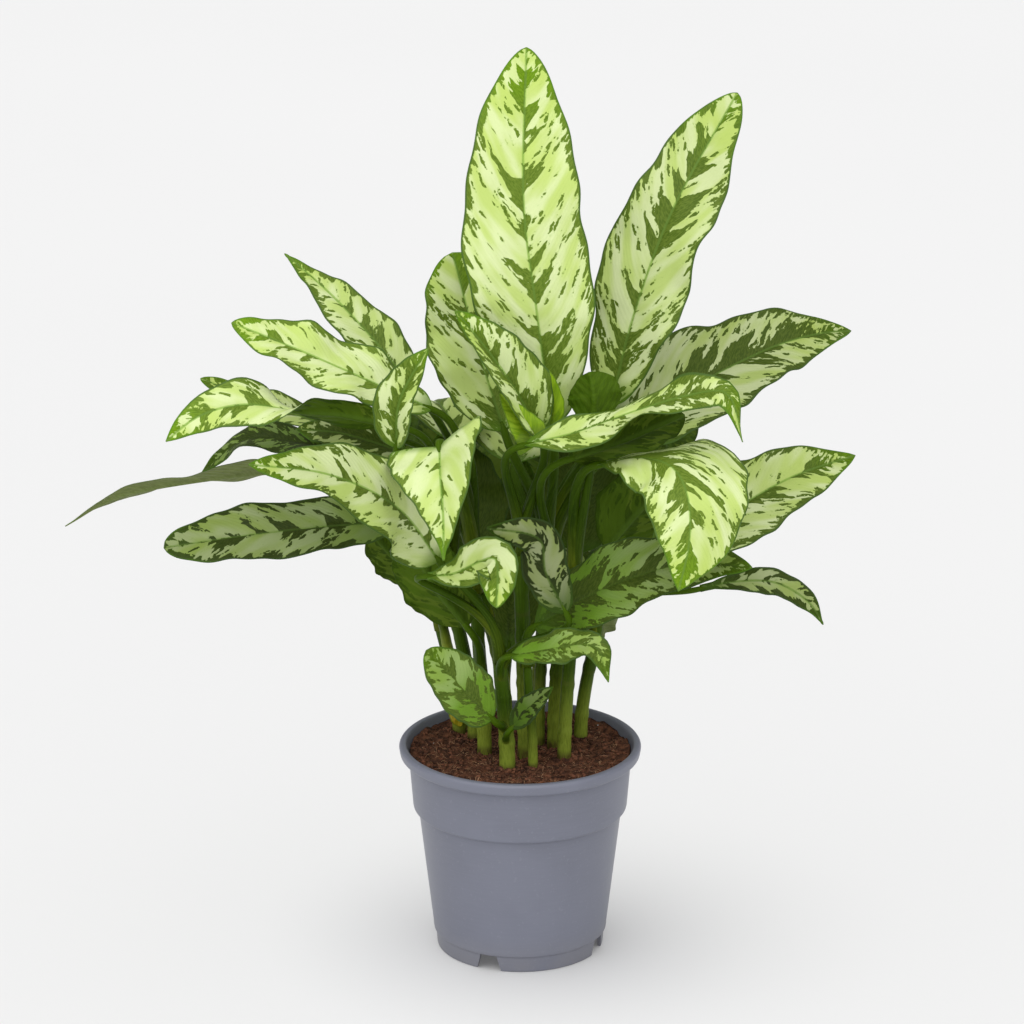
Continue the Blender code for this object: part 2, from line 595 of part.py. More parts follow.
def build_pot(parent):
    """The turned shell with its notches and drain holes cut."""
    plastic = principled("pot_plastic", (0.215, 0.225, 0.285), 0.42)
    pot = new_object("pot", revolved(pot_profile(), POT_SIDES), plastic, parent)
    for cutters in (notch_cutters(), drain_cutters()):
        apply_cut(pot, new_object("cutter", cutters, plastic, parent))
    return pot


def soil_height(x, y):
    """The soil's surface: a shallow dish that rises to the wall, with a few soft hollows."""
    dish = SOIL_DISH * (1 - (math.hypot(x, y) / MOUTH_RADIUS) ** 3)
    bumps = 0.7 * math.sin(x / 9 + 0.6) * math.cos(y / 8) + 0.5 * math.sin(y / 5.5 + x / 14)
    return SOIL_EDGE_HEIGHT - dish + bumps


def build_soil(parent):
    """A plug that fills the pot up to the soil's surface, with a plain hole for each cane."""
    earth = principled("soil_peat", (0.06, 0.026, 0.016), 0.95)
    bm = bmesh.new()
    floor = FOOT_RING_HEIGHT + WALL + GAP
    sides = POT_SIDES
    turns = [2 * math.pi * (k + 0.5) / sides for k in range(sides)]
    rings = []
    for height in (floor, STEP_HEIGHT, COLLAR_FOOT_HEIGHT, RIM_TURN_HEIGHT):
        radius = inner_radius(height) - GAP
        rings.append([Vector((radius * math.cos(a), radius * math.sin(a), height)) for a in turns])
    edge = inner_radius(SOIL_EDGE_HEIGHT - SOIL_BUMP) - GAP
    for n in range(SOIL_RINGS):
        radius = edge * (1 - n / SOIL_RINGS)
        ring = []
        for a in turns:
            x, y = radius * math.cos(a), radius * math.sin(a)
            ring.append(Vector((x, y, soil_height(x, y))))
        rings.append(ring)
    loops = [[bm.verts.new(p) for p in ring] for ring in rings]
    for low, high in zip(loops, loops[1:]):
        for k in range(sides):
            m = (k + 1) % sides
            bm.faces.new((low[k], low[m], high[m], high[k]))
    bm.faces.new(list(reversed(loops[0])))
    middle = bm.verts.new((0, 0, soil_height(0, 0)))
    for k in range(sides):
        bm.faces.new((loops[-1][k], loops[-1][(k + 1) % sides], middle))
    soil = new_object("soil", bm, earth, parent)
    holes = bmesh.new()
    for shoot in SHOOTS.values():
        low = Vector((*shoot.foot, STEM_HOLE_FLOOR))
        high = Vector((*shoot.foot, SOIL_EDGE_HEIGHT + CUT_PAST))
        add_tube(holes, [low, high], [shoot.radius + STEM_HOLE_CLEARANCE] * 2, STEM_HOLE_SIDES)
    apply_cut(soil, new_object("cutter", holes, earth, parent))
    return soil


def main():
    for thing in list(bpy.data.objects):
        bpy.data.objects.remove(thing)
    plant = bpy.data.objects.new("plant", None)
    plant.location = (POT_AXIS[0] * MM, POT_AXIS[1] * MM, 0)
    bpy.context.scene.collection.objects.link(plant)
    build_pot(plant)
    build_soil(plant)
    stem = principled("stem_green", (0.09, 0.2, 0.03), 0.45)
    blade = principled("blade_variegated", (0.35, 0.55, 0.2), 0.4)
    for name, shoot in SHOOTS.items():
        carried = [leaf for leaf in LEAVES.values() if leaf.shoot == name]
        build_shoot(name, shoot, carried, stem, plant)
    for name, leaf in LEAVES.items():
        build_blade(name, leaf, blade, plant)


main()
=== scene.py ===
"""The looks of a potted Chinese evergreen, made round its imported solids.

Each blade, shoot, the soil and the pot repeat the solids' named values and curves in finer steps, and
stand for their nodes. Lengths are in millimetres round the pot's axis until a mesh is made from them.
"""

import json
import math
import random
from dataclasses import dataclass

import bmesh
import bpy
import numpy as np
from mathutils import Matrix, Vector, noise

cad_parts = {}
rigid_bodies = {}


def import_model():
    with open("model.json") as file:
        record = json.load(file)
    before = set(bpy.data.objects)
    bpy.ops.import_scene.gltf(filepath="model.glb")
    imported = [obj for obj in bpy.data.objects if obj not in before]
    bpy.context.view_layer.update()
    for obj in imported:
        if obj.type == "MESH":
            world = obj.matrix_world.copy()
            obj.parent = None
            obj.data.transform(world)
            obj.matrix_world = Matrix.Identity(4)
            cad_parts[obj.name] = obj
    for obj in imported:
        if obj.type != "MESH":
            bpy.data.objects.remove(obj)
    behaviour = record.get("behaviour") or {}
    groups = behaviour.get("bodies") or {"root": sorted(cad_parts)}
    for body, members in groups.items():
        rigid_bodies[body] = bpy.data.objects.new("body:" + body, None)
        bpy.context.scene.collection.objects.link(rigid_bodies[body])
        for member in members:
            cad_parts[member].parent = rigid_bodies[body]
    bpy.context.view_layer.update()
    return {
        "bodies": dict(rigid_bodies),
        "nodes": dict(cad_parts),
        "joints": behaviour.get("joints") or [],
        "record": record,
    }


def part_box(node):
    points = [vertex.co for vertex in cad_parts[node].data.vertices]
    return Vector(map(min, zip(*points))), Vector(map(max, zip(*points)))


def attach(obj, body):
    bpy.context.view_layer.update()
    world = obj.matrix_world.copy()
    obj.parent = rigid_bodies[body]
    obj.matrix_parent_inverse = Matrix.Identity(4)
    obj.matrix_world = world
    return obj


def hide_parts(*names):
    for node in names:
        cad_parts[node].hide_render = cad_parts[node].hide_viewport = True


MM = 0.001
# The patterns on blades and stems are drawn in centimetres, of so many millimetres
CM = 10
GAP = 0.3

# Pot, as in the solids
POT_HEIGHT = 150.0
RIM_RADIUS = 85.0
MOUTH_RADIUS = 79.3
LIP_HEIGHT = 8.0
RIM_TURN_HEIGHT = POT_HEIGHT - LIP_HEIGHT - 3.0
COLLAR_TOP_RADIUS = 78.0
COLLAR_FOOT_RADIUS = 75.2
COLLAR_FOOT_HEIGHT = 105.5
STEP_HEIGHT = 103.5
BODY_TOP_RADIUS = 71.4
BODY_FOOT_RADIUS = 61.0
FOOT_RING_HEIGHT = 12.0
FOOT_RING_RADIUS = 58.6
WALL = 1.7
EDGE_SLANT = 0.6
POT_SEGMENTS = 192
FOOT_NOTCHES = 4
FOOT_NOTCH_TURN = -22.0
FOOT_NOTCH_WIDTH = 18.0
FOOT_NOTCH_TOP_WIDTH = 12.0
FOOT_NOTCH_REACH = (50.0, 70.0)
DRAIN_HOLES = 6
DRAIN_HOLE_RADIUS = 4.5
DRAIN_RING_RADIUS = 38.0
DRAIN_HOLE_SIDES = 32
SHARP_ANGLE = 35.0

# Soil
SOIL_EDGE_HEIGHT = 145.0
SOIL_DISH = 5.3
SOIL_BUMP = 1.5
SOIL_SEGMENTS = 180
SOIL_RINGS = 56
SOIL_ROUGHNESS = 1.5
CRUMBS = 1500
CRUMB_SIZES = (0.7, 2.1)
CANE_CRUMBS = 700
CANE_CRUMB_SIZES = (0.9, 2.5)
# How far the crumbs are heaped out from a cane
HEAP_REACH = 5.0
PERLITE = 6
PERLITE_SIZES = (0.5, 1.2)
FIBRES = 700
FIBRE_STEPS = 6
FIBRE_CORNERS = (0.5, 2.6, 4.7)

# Shoots
STEM_HOLE_FLOOR = 92.0
CANE_SIDES = 24
PETIOLE_SIDES = 20
PETIOLE_STEPS = 30
PETIOLE_BASE_RADIUS = 5.6
PETIOLE_TIP_RADIUS = 2.9
PETIOLE_END = 3.0
SLIM_SHARE = 0.55
SLIM_WIDTH = 160.0
CANE_SCAR_SPACING = 18.0
CANE_SCAR_SWELL = 1.09
CANE_THINNING = 0.2
CANE_UPRIGHT = 0.4
# How much of that length the cane keeps its top's direction
CANE_TOP_SHARE = 0.6
# Petioles that leave a cane below this share of its height are pale and blotched as its foot is
LOW_NODE = 0.35
YELLOW_SHOOTS = ("yellow", "mid_left")

# Blades
SPINE_STEPS = 24
SIDE_LAG = 2.1
FRILL_WAVES = 2.6
FINE_FRILL = 0.022
FINE_WAVES = 6.3
FINE_LAG = 1.3
RIB_THICKNESS = 2.6
BLADE_THICKNESS = 0.8
BLADE_NECK = 2.6
BLADE_TIP = 0.9
ROW_LENGTH = 2.3
MIN_ROWS, MAX_ROWS = 40, 104
# From here on the blade closes round its tip, down to this half width
TIP_START = 0.985
TIP_END = 0.25
# Where the columns of points lie between the rib, 0, and the margin, 1
COLUMNS = (0.03, 0.07, 0.12, 0.18, 0.26, 0.35, 0.45, 0.55, 0.65, 0.75, 0.84, 0.91, 0.96, 0.988, 1.0)
SHEET_THICKNESS = 0.6
MARGIN_THICKNESS = 0.34
MARGIN_START = 0.80
VEIN_SPACING = 8.5
VEIN_LEAN = 0.85
VEIN_CURVE = 0.75
QUILT_HEIGHT = 0.32
GROOVE_DEPTH = 0.75
GROOVE_WIDTH = 1.6
UNEVEN_HEIGHT = 0.9
RIPPLE_SHARE = 0.22
RIPPLE_WAVES = 2.6
# Blades narrower than this have a shallower relief and a thinner rib
FULL_RELIEF_WIDTH = 50
# The patterns of any two blades start this far apart, in cm, and so do those of the stems
BLADE_SHIFT = 7.3
CANE_SHIFT = 3.1
PETIOLE_SHIFT = 1.7
YOUNG_START = 50

# Studio, with the camera seen from where the pot's axis meets the floor, in metres and degrees
FLOOR_REACH = 30.0
FLOOR_DROP = 0.0002
BACKDROP_STRENGTH = 0.44
CAMERA_PLACE = (-0.0057, -3.0, 1.30)
CAMERA_TILT = 71.9
CAMERA_LENS = 160.8


@dataclass
class Shoot:
    """A cane that stands in the soil at foot (x, y) and grows to top (x, y, z)."""

    foot: tuple
    top: tuple
    radius: float


@dataclass
class Leaf:
    """A blade along a spine from its base to its tip, and the shoot that carries its petiole.

    node is how far up its cane the petiole leaves. faces is where the upper side looks at the base
    and at the tip. fold and curl bend the left and right halves up from the rib, in degrees. wave is
    how far the margins rise and fall, waves how often. The blade's half width follows
    s ** shoulder * (1 - s) ** taper along the spine; halves scales its left and right half, and
    frill is how much their outlines swing in and out. reach is how far the petiole keeps the cane's
    direction at its start and the blade's at its end.
    """

    shoot: str
    node: float
    spine: tuple
    width: float
    faces: tuple = ((0, -1, 0.4), (0, -1, 0.4))
    fold: tuple = (12, 12)
    curl: tuple = (-10, -10)
    wave: float = 2.5
    waves: float = 3.0
    phase: float = 0.0
    shoulder: float = 0.55
    taper: float = 0.85
    reach: tuple = (0.45, 0.3)
    halves: tuple = (1.0, 1.0)
    frill: float = 0.03


@dataclass
class Look:
    """How a blade differs: its tone, how much of it is dark, and how near its pale parts are to green.

    At plain 1 the blade has no pale parts. under is its underside's tone next to its upper side's.
    The tones are painted light and shade: they brighten or darken a whole face for how brightly it is lit.
    """

    tone: float = 1.0
    dark: float = 0.0
    plain: float = 0.0
    under: float = 1.0


SHOOTS = {
    "front": Shoot((-9, -26), (-14, -30, 226), 5.8),
    "centre": Shoot((4, -2), (0, -14, 300), 6.0),
    "yellow": Shoot((25, 18), (30, 12, 262), 6.2),
    "back": Shoot((12, 46), (22, 44, 290), 5.6),
    "right": Shoot((43, 30), (55, 26, 240), 5.0),
    "right_front": Shoot((31, -6), (37, -12, 262), 5.0),
    "left": Shoot((-43, 42), (-62, 34, 262), 5.2),
    "left_inner": Shoot((-32, 31), (-47, 12, 262), 5.4),
    "left_back": Shoot((-10, 60), (-32, 66, 270), 5.0),
    "mid_left": Shoot((-25, 4), (-31, -2, 262), 5.2),
    "mid": Shoot((13, 22), (17, 18, 262), 4.6),
    "slim": Shoot((9, -22), (5, -25, 216), 3.6),
}

LEAVES = {
    "top": Leaf("mid", 1.0, ((22, 4, 380), (11, -8, 466), (2, -6, 543), (4, 14, 643)), 86,
        faces=((0.15, -1, 0.1), (0, -1, 0.1)), fold=(10, 10), curl=(-14, -14), wave=2.0, taper=0.65,
        shoulder=0.58, halves=(1.0, 0.94)),
    "tall_right": Leaf("back", 0.9, ((63, 26, 389), (77, 30, 449), (104, 42, 523), (149, 75, 598)), 66,
        faces=((-0.3, -1, 0.3), (-0.5, -1, 0.2)), wave=4.0, waves=3.5, phase=0.6, taper=0.62, frill=0.07),
    "behind_top": Leaf("back", 0.7, ((-11, 30, 369), (-29, 48, 422), (-47, 66, 487)), 70,
        faces=((0.2, -1, 0.2), (0.3, -1, 0.2)), taper=0.55),
    "young_folded": Leaf("centre", 0.95, ((13, -22, 383), (-4, -32, 418), (-23, -36, 447), (-44, -30, 472)),
        50, faces=((0.5, -1, 0.5), (0.5, -1, 0.5)), fold=(48, 30), wave=1.0),
    "knob": Leaf("right_front", 0.95, ((50, -20, 389), (50, -18, 408), (47, -10, 423)), 40,
        faces=((0, 1, 0.3), (0, 1, 0.3)), fold=(30, 30), taper=0.45, wave=1.0),
    "right_mid": Leaf("back", 0.8, ((74, 45, 360), (115, 74, 384), (173, 110, 404), (210, 130, 410),
        (237, 150, 407)), 86, faces=((-0.3, -0.7, 0.8), (0.1, -0.7, 0.8)), wave=3.5, phase=1.0,
        shoulder=0.35, halves=(1.0, 0.85)),
    "right_arching": Leaf("centre", 1.0, ((3, -46, 383), (37, -54, 394), (73, -62, 410), (113, -74, 426),
        (138, -86, 430), (148, -94, 399)), 38, faces=((0, -0.35, 1), (0.6, -0.6, 0.6)), wave=8.0,
        phase=0.43, waves=1.7, halves=(0.75, 1.0)),
    "right_front": Leaf("right_front", 1.0, ((53, -38, 367), (80, -66, 380), (101, -94, 382),
        (111, -114, 367), (112, -122, 338), (105, -126, 305)), 78, faces=((-0.2, -0.2, 1), (0.1, -1, 0.2)),
        wave=3.0, waves=3.5, fold=(-18, 4), halves=(1.25, 0.78), shoulder=1.0, taper=0.95),
    "right_low": Leaf("right", 0.9, ((94, 15, 281), (140, 35, 304), (189, 60, 325), (237, 85, 334)), 63,
        faces=((-0.3, -0.8, 0.7), (-0.2, -0.8, 0.7))),
    "lower_right": Leaf("slim", 1.0, ((10, -25, 245), (61, -50, 283), (115, -72, 307), (156, -85, 308)), 58,
        faces=((0, -0.7, 0.8), (0, -0.7, 0.8)), taper=0.8),
    "twisted_right": Leaf("right", 0.8, ((125, 5, 262), (149, 2, 268), (177, 0, 268), (200, 0, 254),
        (211, 0, 237)), 19, faces=((0, -0.8, 0.6), (0.4, -0.9, 0.4)), wave=2.0, taper=1.05, shoulder=1.2),
    "olive_right": Leaf("back", 0.45, ((42, 46, 211), (62, 58, 226), (82, 68, 233)), 40,
        faces=((0, 1, 0.5), (0, 1, 0.5)), taper=0.5),
    "low_right": Leaf("front", 0.6, ((-6, -48, 232), (27, -68, 245), (51, -80, 249), (60, -86, 226)), 26,
        faces=((0, -0.6, 0.8), (0.5, -0.8, 0.4))),
    "low_left": Leaf("front", 0.2, ((-19, -50, 186), (-39, -66, 214), (-64, -72, 244)), 40,
        faces=((0.3, -1, 0.5), (0.3, -1, 0.5)), taper=0.6, wave=0.8),
    "tiny": Leaf("front", 0.1, ((-6, -46, 178), (7, -54, 197), (22, -60, 213)), 17,
        faces=((-0.5, -1, 0.3), (-0.5, -1, 0.3)), wave=0.4),
    "bright_centre": Leaf("front", 1.0, ((-63, -70, 297), (-45, -80, 302), (-27, -90, 314), (-16, -96, 316),
        (-16, -97, 283)), 30, faces=((0, -0.8, 0.6), (0, -1, 0.2)), wave=2.0, shoulder=0.9, taper=0.7),
    "dull_centre": Leaf("front", 0.75, ((31, -60, 267), (17, -66, 298), (12, -68, 323), (-23, -76, 333)),
        31, faces=((0, -1, 0.2), (0, -1, 0.2))),
    "folded_left": Leaf("mid_left", 1.0, ((-54, -92, 396), (-53, -124, 384), (-51, -138, 359),
        (-51, -142, 332)), 78, faces=((0, -0.6, 0.8), (0, -1, 0.2)), fold=(50, 0), wave=1.5, shoulder=0.2,
        taper=1.3, halves=(1.0, 0.92)),
    "small_upright": Leaf("left_inner", 0.98, ((-84, -54, 383), (-81, -56, 417), (-62, -52, 452)), 34,
        faces=((-0.2, -1, 0.3), (-0.2, -1, 0.3)), fold=(20, 50), wave=1.0),
    "upper_left": Leaf("left_back", 1.0, ((-73, 32, 399), (-106, 60, 431), (-135, 90, 453),
        (-166, 120, 472)), 38, faces=((0.2, -0.8, 0.8), (0.1, -0.8, 0.8)), taper=1.15),
    "left_mid": Leaf("left_inner", 1.0, ((-61, 8, 392), (-103, 0, 414), (-150, -8, 438), (-196, -10, 458)),
        50, faces=((0.1, -0.6, 0.9), (0.1, -0.6, 0.9)), wave=4.0, taper=0.65, frill=0.07),
    "left_arching": Leaf("left", 1.0, ((-84, -14, 386), (-123, -22, 397), (-150, -28, 401),
        (-186, -36, 408), (-217, -40, 401), (-240, -44, 384)), 40, faces=((0, 1.4, 0.4), (-0.3, -1.6, 0.6)),
        shoulder=0.9, taper=0.9),
    "left_back": Leaf("left_back", 0.9, ((-86, 64, 353), (-134, 86, 356), (-183, 104, 367),
        (-227, 118, 381)), 30, faces=((0, -0.3, 1), (0, -0.3, 1)), taper=0.55),
    "left_under": Leaf("left", 0.9, ((-82, 22, 349), (-139, 30, 358), (-188, 36, 362), (-222, 40, 336)), 34,
        faces=((0, -0.25, 1), (-0.2, -0.4, 1)), taper=0.8),
    "left_inner": Leaf("left", 0.8, ((-80, 16, 358), (-121, 22, 369), (-155, 28, 371)), 40,
        faces=((0, -0.6, 0.9), (0, -0.6, 0.9))),
    "left_front": Leaf("front", 0.9, ((-55, -62, 305), (-82, -105, 357), (-125, -140, 391),
        (-177, -165, 406)), 58, faces=((-0.2, -0.9, 0.7), (-0.2, -0.7, 0.8)), wave=3.0),
    "long_left": Leaf("left_back", 0.8, ((-89, 44, 333), (-161, 56, 332), (-222, 64, 323), (-284, 70, 308),
        (-322, 74, 285)), 44, faces=((0, 0.55, 1), (0, 0.55, 1)), wave=2.0, taper=1.1),
    "lower_left": Leaf("left", 0.6, ((-75, -4, 314), (-127, -25, 318), (-184, -45, 318), (-242, -58, 313)),
        47, faces=((0, -0.7, 0.9), (0, -0.7, 0.9)), taper=0.5, shoulder=0.6),
    "hanging_left": Leaf("mid_left", 0.4, ((-37, -22, 244), (-61, -28, 279), (-76, -24, 311)), 50,
        faces=((0.2, 1, 0), (0.2, 1, 0)), taper=0.5),
    "hanging_back": Leaf("left", 0.3, ((-72, 16, 264), (-88, 20, 280), (-105, 26, 298)), 36,
        faces=((0.2, 1, 0), (0.2, 1, 0)), taper=0.6),
    "under_arching": Leaf("yellow", 0.7, ((34, -32, 369), (71, -36, 383), (111, -40, 402)), 46,
        faces=((0.1, 0.9, 0.5), (0.1, 0.9, 0.5)), taper=0.6),
    "back_left": Leaf("left_back", 0.7, ((-40, 82, 345), (-58, 122, 362), (-74, 164, 338), (-84, 190, 285)),
        76, faces=((0, 0.1, 1), (-0.2, 1, 0.3)), wave=3.0),
    "back_centre": Leaf("back", 0.6, ((-4, 80, 330), (0, 122, 342), (0, 166, 314), (2, 194, 258)), 80,
        faces=((0, 0.1, 1), (0, 1, 0.3)), wave=3.0, phase=1.0),
    "back_right": Leaf("back", 0.95, ((52, 78, 345), (76, 118, 362), (100, 158, 340), (114, 186, 290)), 76,
        faces=((0, 0.1, 1), (0.2, 1, 0.3)), wave=3.0, phase=2.0),
    "back_inner_left": Leaf("left_back", 0.55, ((-32, 84, 262), (-42, 104, 302), (-56, 128, 340)), 62,
        faces=((0.2, -1, 0.6), (0.2, -1, 0.6))),
    "back_inner_mid": Leaf("left_back", 0.12, ((-8, 90, 186), (-4, 104, 248), (4, 132, 316)), 56,
        faces=((0, -1, 0.6), (0, -1, 0.6))),
    "back_inner_right": Leaf("back", 0.5, ((42, 84, 262), (46, 104, 304), (50, 124, 350)), 60,
        faces=((-0.2, -1, 0.6), (-0.2, -1, 0.6))),
    "back_low": Leaf("back", 0.35, ((46, 94, 244), (53, 124, 254), (58, 152, 234), (62, 170, 198)), 56,
        faces=((0, 0.1, 1), (0, 1, 0.3))),
    "green_right": Leaf("right", 0.7, ((60, 44, 278), (84, 60, 301), (110, 74, 322)), 60,
        faces=((0.2, 1, 0.3), (0.2, 1, 0.3)), taper=0.6),
}

# Young leaves that have not unrolled, and the sheath at a cane's foot
YOUNG = {
    "young_sheath": Leaf("centre", 1.0, ((10, -30, 376), (5, -37, 389), (-4, -42, 403), (-14, -44, 418)),
        26, faces=((0, -1, 0.3), (0.2, -1, 0.6)), fold=(20, 20), wave=0.6, shoulder=0.12, taper=0.8),
    "young_spear": Leaf("mid", 1.0, ((20, -16, 385), (22, -20, 403), (19, -22, 417), (12, -22, 433)), 24,
        faces=((-0.5, -1, 0.1), (-0.5, -1, 0.1)), fold=(30, 30), wave=0.5, shoulder=0.4, taper=0.6),
    "young_low": Leaf("left", 0.1, ((-45, 37, 165), (-45, 35, 156), (-42, 35, 148)), 11,
        faces=((0, -1, 0.2), (0, -1, 0.2)), fold=(16, 16), wave=0.4, shoulder=0.2, taper=0.5),
}

# Tone and under are painted light and shade: each blade is brightened or dimmed for how brightly it is lit
# where it stands. The three back inner blades are plain and dim: painted shade deep inside the plant.
LOOKS = {
    "top": Look(1.07, -0.015),
    "tall_right": Look(0.93, -0.01),
    "left_mid": Look(1.10, -0.05),
    "left_arching": Look(1.08, -0.04),
    "left_front": Look(0.88, -0.03),
    "right_mid": Look(0.74, 0.01),
    "right_low": Look(0.84, 0.0, 0.0, 0.6),
    "right_front": Look(1.06, 0.005),
    "lower_right": Look(0.68, 0.01, 0.7),
    "lower_left": Look(0.50, -0.03, 0.35),
    "low_left": Look(0.84, 0.0, 0.88),
    "low_right": Look(0.84, 0.02, 0.62),
    "left_under": Look(0.56, 0.06, 0.88),
    "left_inner": Look(0.72, 0.02),
    "left_back": Look(0.85, 0.01),
    "olive_right": Look(0.80, 0.0, 1.0, 2.6),
    "dull_centre": Look(0.43, -0.02),
    "twisted_right": Look(0.56, -0.06, 0.1),
    "long_left": Look(0.86, 0.02, 0.0, 2.6),
    "tiny": Look(0.42, -0.05, 0.89),
    "knob": Look(0.62, 0.0, 1.0, 2.4),
    "young_folded": Look(1.0, 0.01),
    "folded_left": Look(1.06, -0.035),
    "bright_centre": Look(1.04, -0.02),
    "upper_left": Look(0.97, -0.03),
    "back_inner_left": Look(0.78, 0.0, 1.0),
    "back_inner_mid": Look(0.78, 0.0, 1.0),
    "back_inner_right": Look(0.78, 0.0, 1.0),
}


class Value:
    """What a node gives out. Sums, differences and products of values are nodes as well."""

    def __init__(self, nodes, socket):
        self.nodes, self.socket = nodes, socket

    def __add__(self, other):
        return self.nodes.math("ADD", self, other)

    def __sub__(self, other):
        return self.nodes.math("SUBTRACT", self, other)

    def __rsub__(self, other):
        return self.nodes.math("SUBTRACT", other, self)

    def __mul__(self, other):
        return self.nodes.math("MULTIPLY", self, other)


class Nodes:
    """Short calls that add nodes to a material and link them."""

    def __init__(self, name):
        self.material = bpy.data.materials.new(name)
        self.material.use_nodes = True
        self.tree = self.material.node_tree

    def put(self, socket, value):
        """Link a socket to a value, or give it a number, vector or colour."""
        if isinstance(value, Value):
            self.tree.links.new(value.socket, socket)
        elif socket.type == "RGBA":
            socket.default_value = (*value, 1.0)
        else:
            socket.default_value = value

    def node(self, kind, inputs, output=0, **settings):
        """Add a node, fill its inputs by name or number, and give one of its outputs."""
        node = self.tree.nodes.new("ShaderNode" + kind)
        for name, setting in settings.items():
            setattr(node, name, setting)
        for name, value in inputs.items():
            self.put(node.inputs[name], value)
        return Value(self, node.outputs[output])

    def attribute(self, name):
        return self.node("Attribute", {}, "Vector", attribute_name=name)

    def place(self):
        """The point's place in the shared frame, in metres."""
        return self.node("TexCoord", {}, "Object")

    def split(self, vector):
        first = self.node("SeparateXYZ", {0: vector})
        return [Value(self, socket) for socket in first.socket.node.outputs]

    def parts(self, name):
        return self.split(self.attribute(name))

    def join(self, x, y, z):
        return self.node("CombineXYZ", {0: x, 1: y, 2: z})

    def math(self, operation, a, b=0.0):
        return self.node("Math", {0: a, 1: b}, operation=operation)

    def noise(self, vector, scale, detail=2.0, roughness=0.5):
        """Noise at one scale, or at three along the vector's three directions."""
        if isinstance(scale, tuple):
            vector = self.node("VectorMath", {0: vector, 1: scale}, operation="MULTIPLY")
            scale = 1.0
        return self.node("TexNoise", {"Vector": vector, "Scale": scale, "Detail": detail,
                                      "Roughness": roughness})

    def cells(self, vector):
        """Distance to the nearest of a scatter of points, and a number that each point has."""
        distance = self.node("TexVoronoi", {"Vector": vector, "Scale": 1.0}, voronoi_dimensions="2D")
        colour = Value(self, distance.socket.node.outputs["Color"])
        return distance, self.split(colour)[0]

    def ramp(self, value, low, high, out_low=0.0, out_high=1.0):
        """Rise smoothly from out_low at low to out_high at high."""
        inputs = dict(enumerate((value, low, high, out_low, out_high)))
        return self.node("MapRange", inputs, interpolation_type="SMOOTHSTEP")

    def mix(self, share, a, b, blend="MIX"):
        return self.node("Mix", {0: share, 6: a, 7: b}, 2, data_type="RGBA", blend_type=blend)

    def vary(self, value, a, b, low=0.35, high=0.65):
        """Colour a where a noise is low, colour b where it is high."""
        return self.mix(self.ramp(value, low, high), a, b)

    def shade(self, colour, tone):
        return self.mix(1.0, colour, self.join(tone, tone, tone), "MULTIPLY")

    def bump(self, height, distance, strength, below=None):
        inputs = {"Height": height, "Distance": distance, "Strength": strength}
        if below:
            inputs["Normal"] = below
        return self.node("Bump", inputs)

    def finish(self, **sockets):
        """Fill the shader's sockets and hand the material over."""
        shader = self.tree.nodes["Principled BSDF"]
        for name, value in sockets.items():
            self.put(shader.inputs[name.replace("_", " ")], value)
        return self.material


def blade_pattern(n):
    """How far inside a dark patch a point lies, in cm, and where the middle is dark, from 0 to 1."""
    sheet = n.attribute("sheet")
    along, across, seed = n.split(sheet)
    _, out, edge = n.parts("place")
    _, dark, plain = n.parts("look")
    side = n.math("GREATER_THAN", across, 0.0)
    warp = n.noise(sheet, (0.9, 0.9, 1.0), 2.0, 0.6)
    q = along + (out * -0.95 + out * out * -0.1) + ((warp - 0.5) * 0.7 + side * 1.37)

    def strokes(scale, shift, detail, spread=0.0):
        """Noise that changes across the veins, and by spread as fast along them."""
        place = n.join(q * scale, out * spread + (side * 4.43 + shift), seed)
        return n.noise(place, 1.0, detail, 0.55)

    clump = n.ramp(strokes(0.5, 0.37, 1.0) + dark * 3.0, 0.41, 0.54)
    finger = n.ramp(strokes(1.15, 7.21, 1.0, 0.45), 0.32, 0.68)
    jag = strokes(2.7, 3.93, 3.0, 1.7) - 0.5
    reach = clump * (out + edge) * (finger * 0.48 + 0.14)
    blotch = reach - out + jag * (clump * 2.1 + 0.25)
    lobes = n.ramp(strokes(1.5, 11.3, 0.0), 0.42, 0.66, 0.0, 0.34)
    margin = lobes + 0.15 + jag * 0.55 - edge
    ragged = n.noise(sheet, (5.0, 5.0, 1.0), 1.5, 0.6)
    flock = n.ramp(strokes(0.8, 5.71, 1.0, 0.6), 0.38, 0.62, -0.12, 0.16)
    ready = flock + (clump * 0.18 + n.ramp(edge, 0.1, 1.0, 0.32, 0.0))
    gap, chance = n.cells(n.join(q * 2.3, out * 1.9 + (side * 5.3 + seed), 0.0))
    size = ready + (dark * 0.8 + 0.16) - chance
    islands = n.math("MINIMUM", size, 0.18) + ((ragged - 0.5) * 0.4 - gap * 0.34)
    field = n.math("MAXIMUM", n.math("MAXIMUM", blotch, islands), margin)
    return field + n.ramp(plain, 0.9, 1.0, 0.0, 9.0), clump


def vein_wave(n, stroke, per_vein):
    """A wave across the side veins, with so many ridges for each."""
    return n.math("SINE", n.split(stroke)[0] * (2 * math.pi * CM / VEIN_SPACING * per_vein))


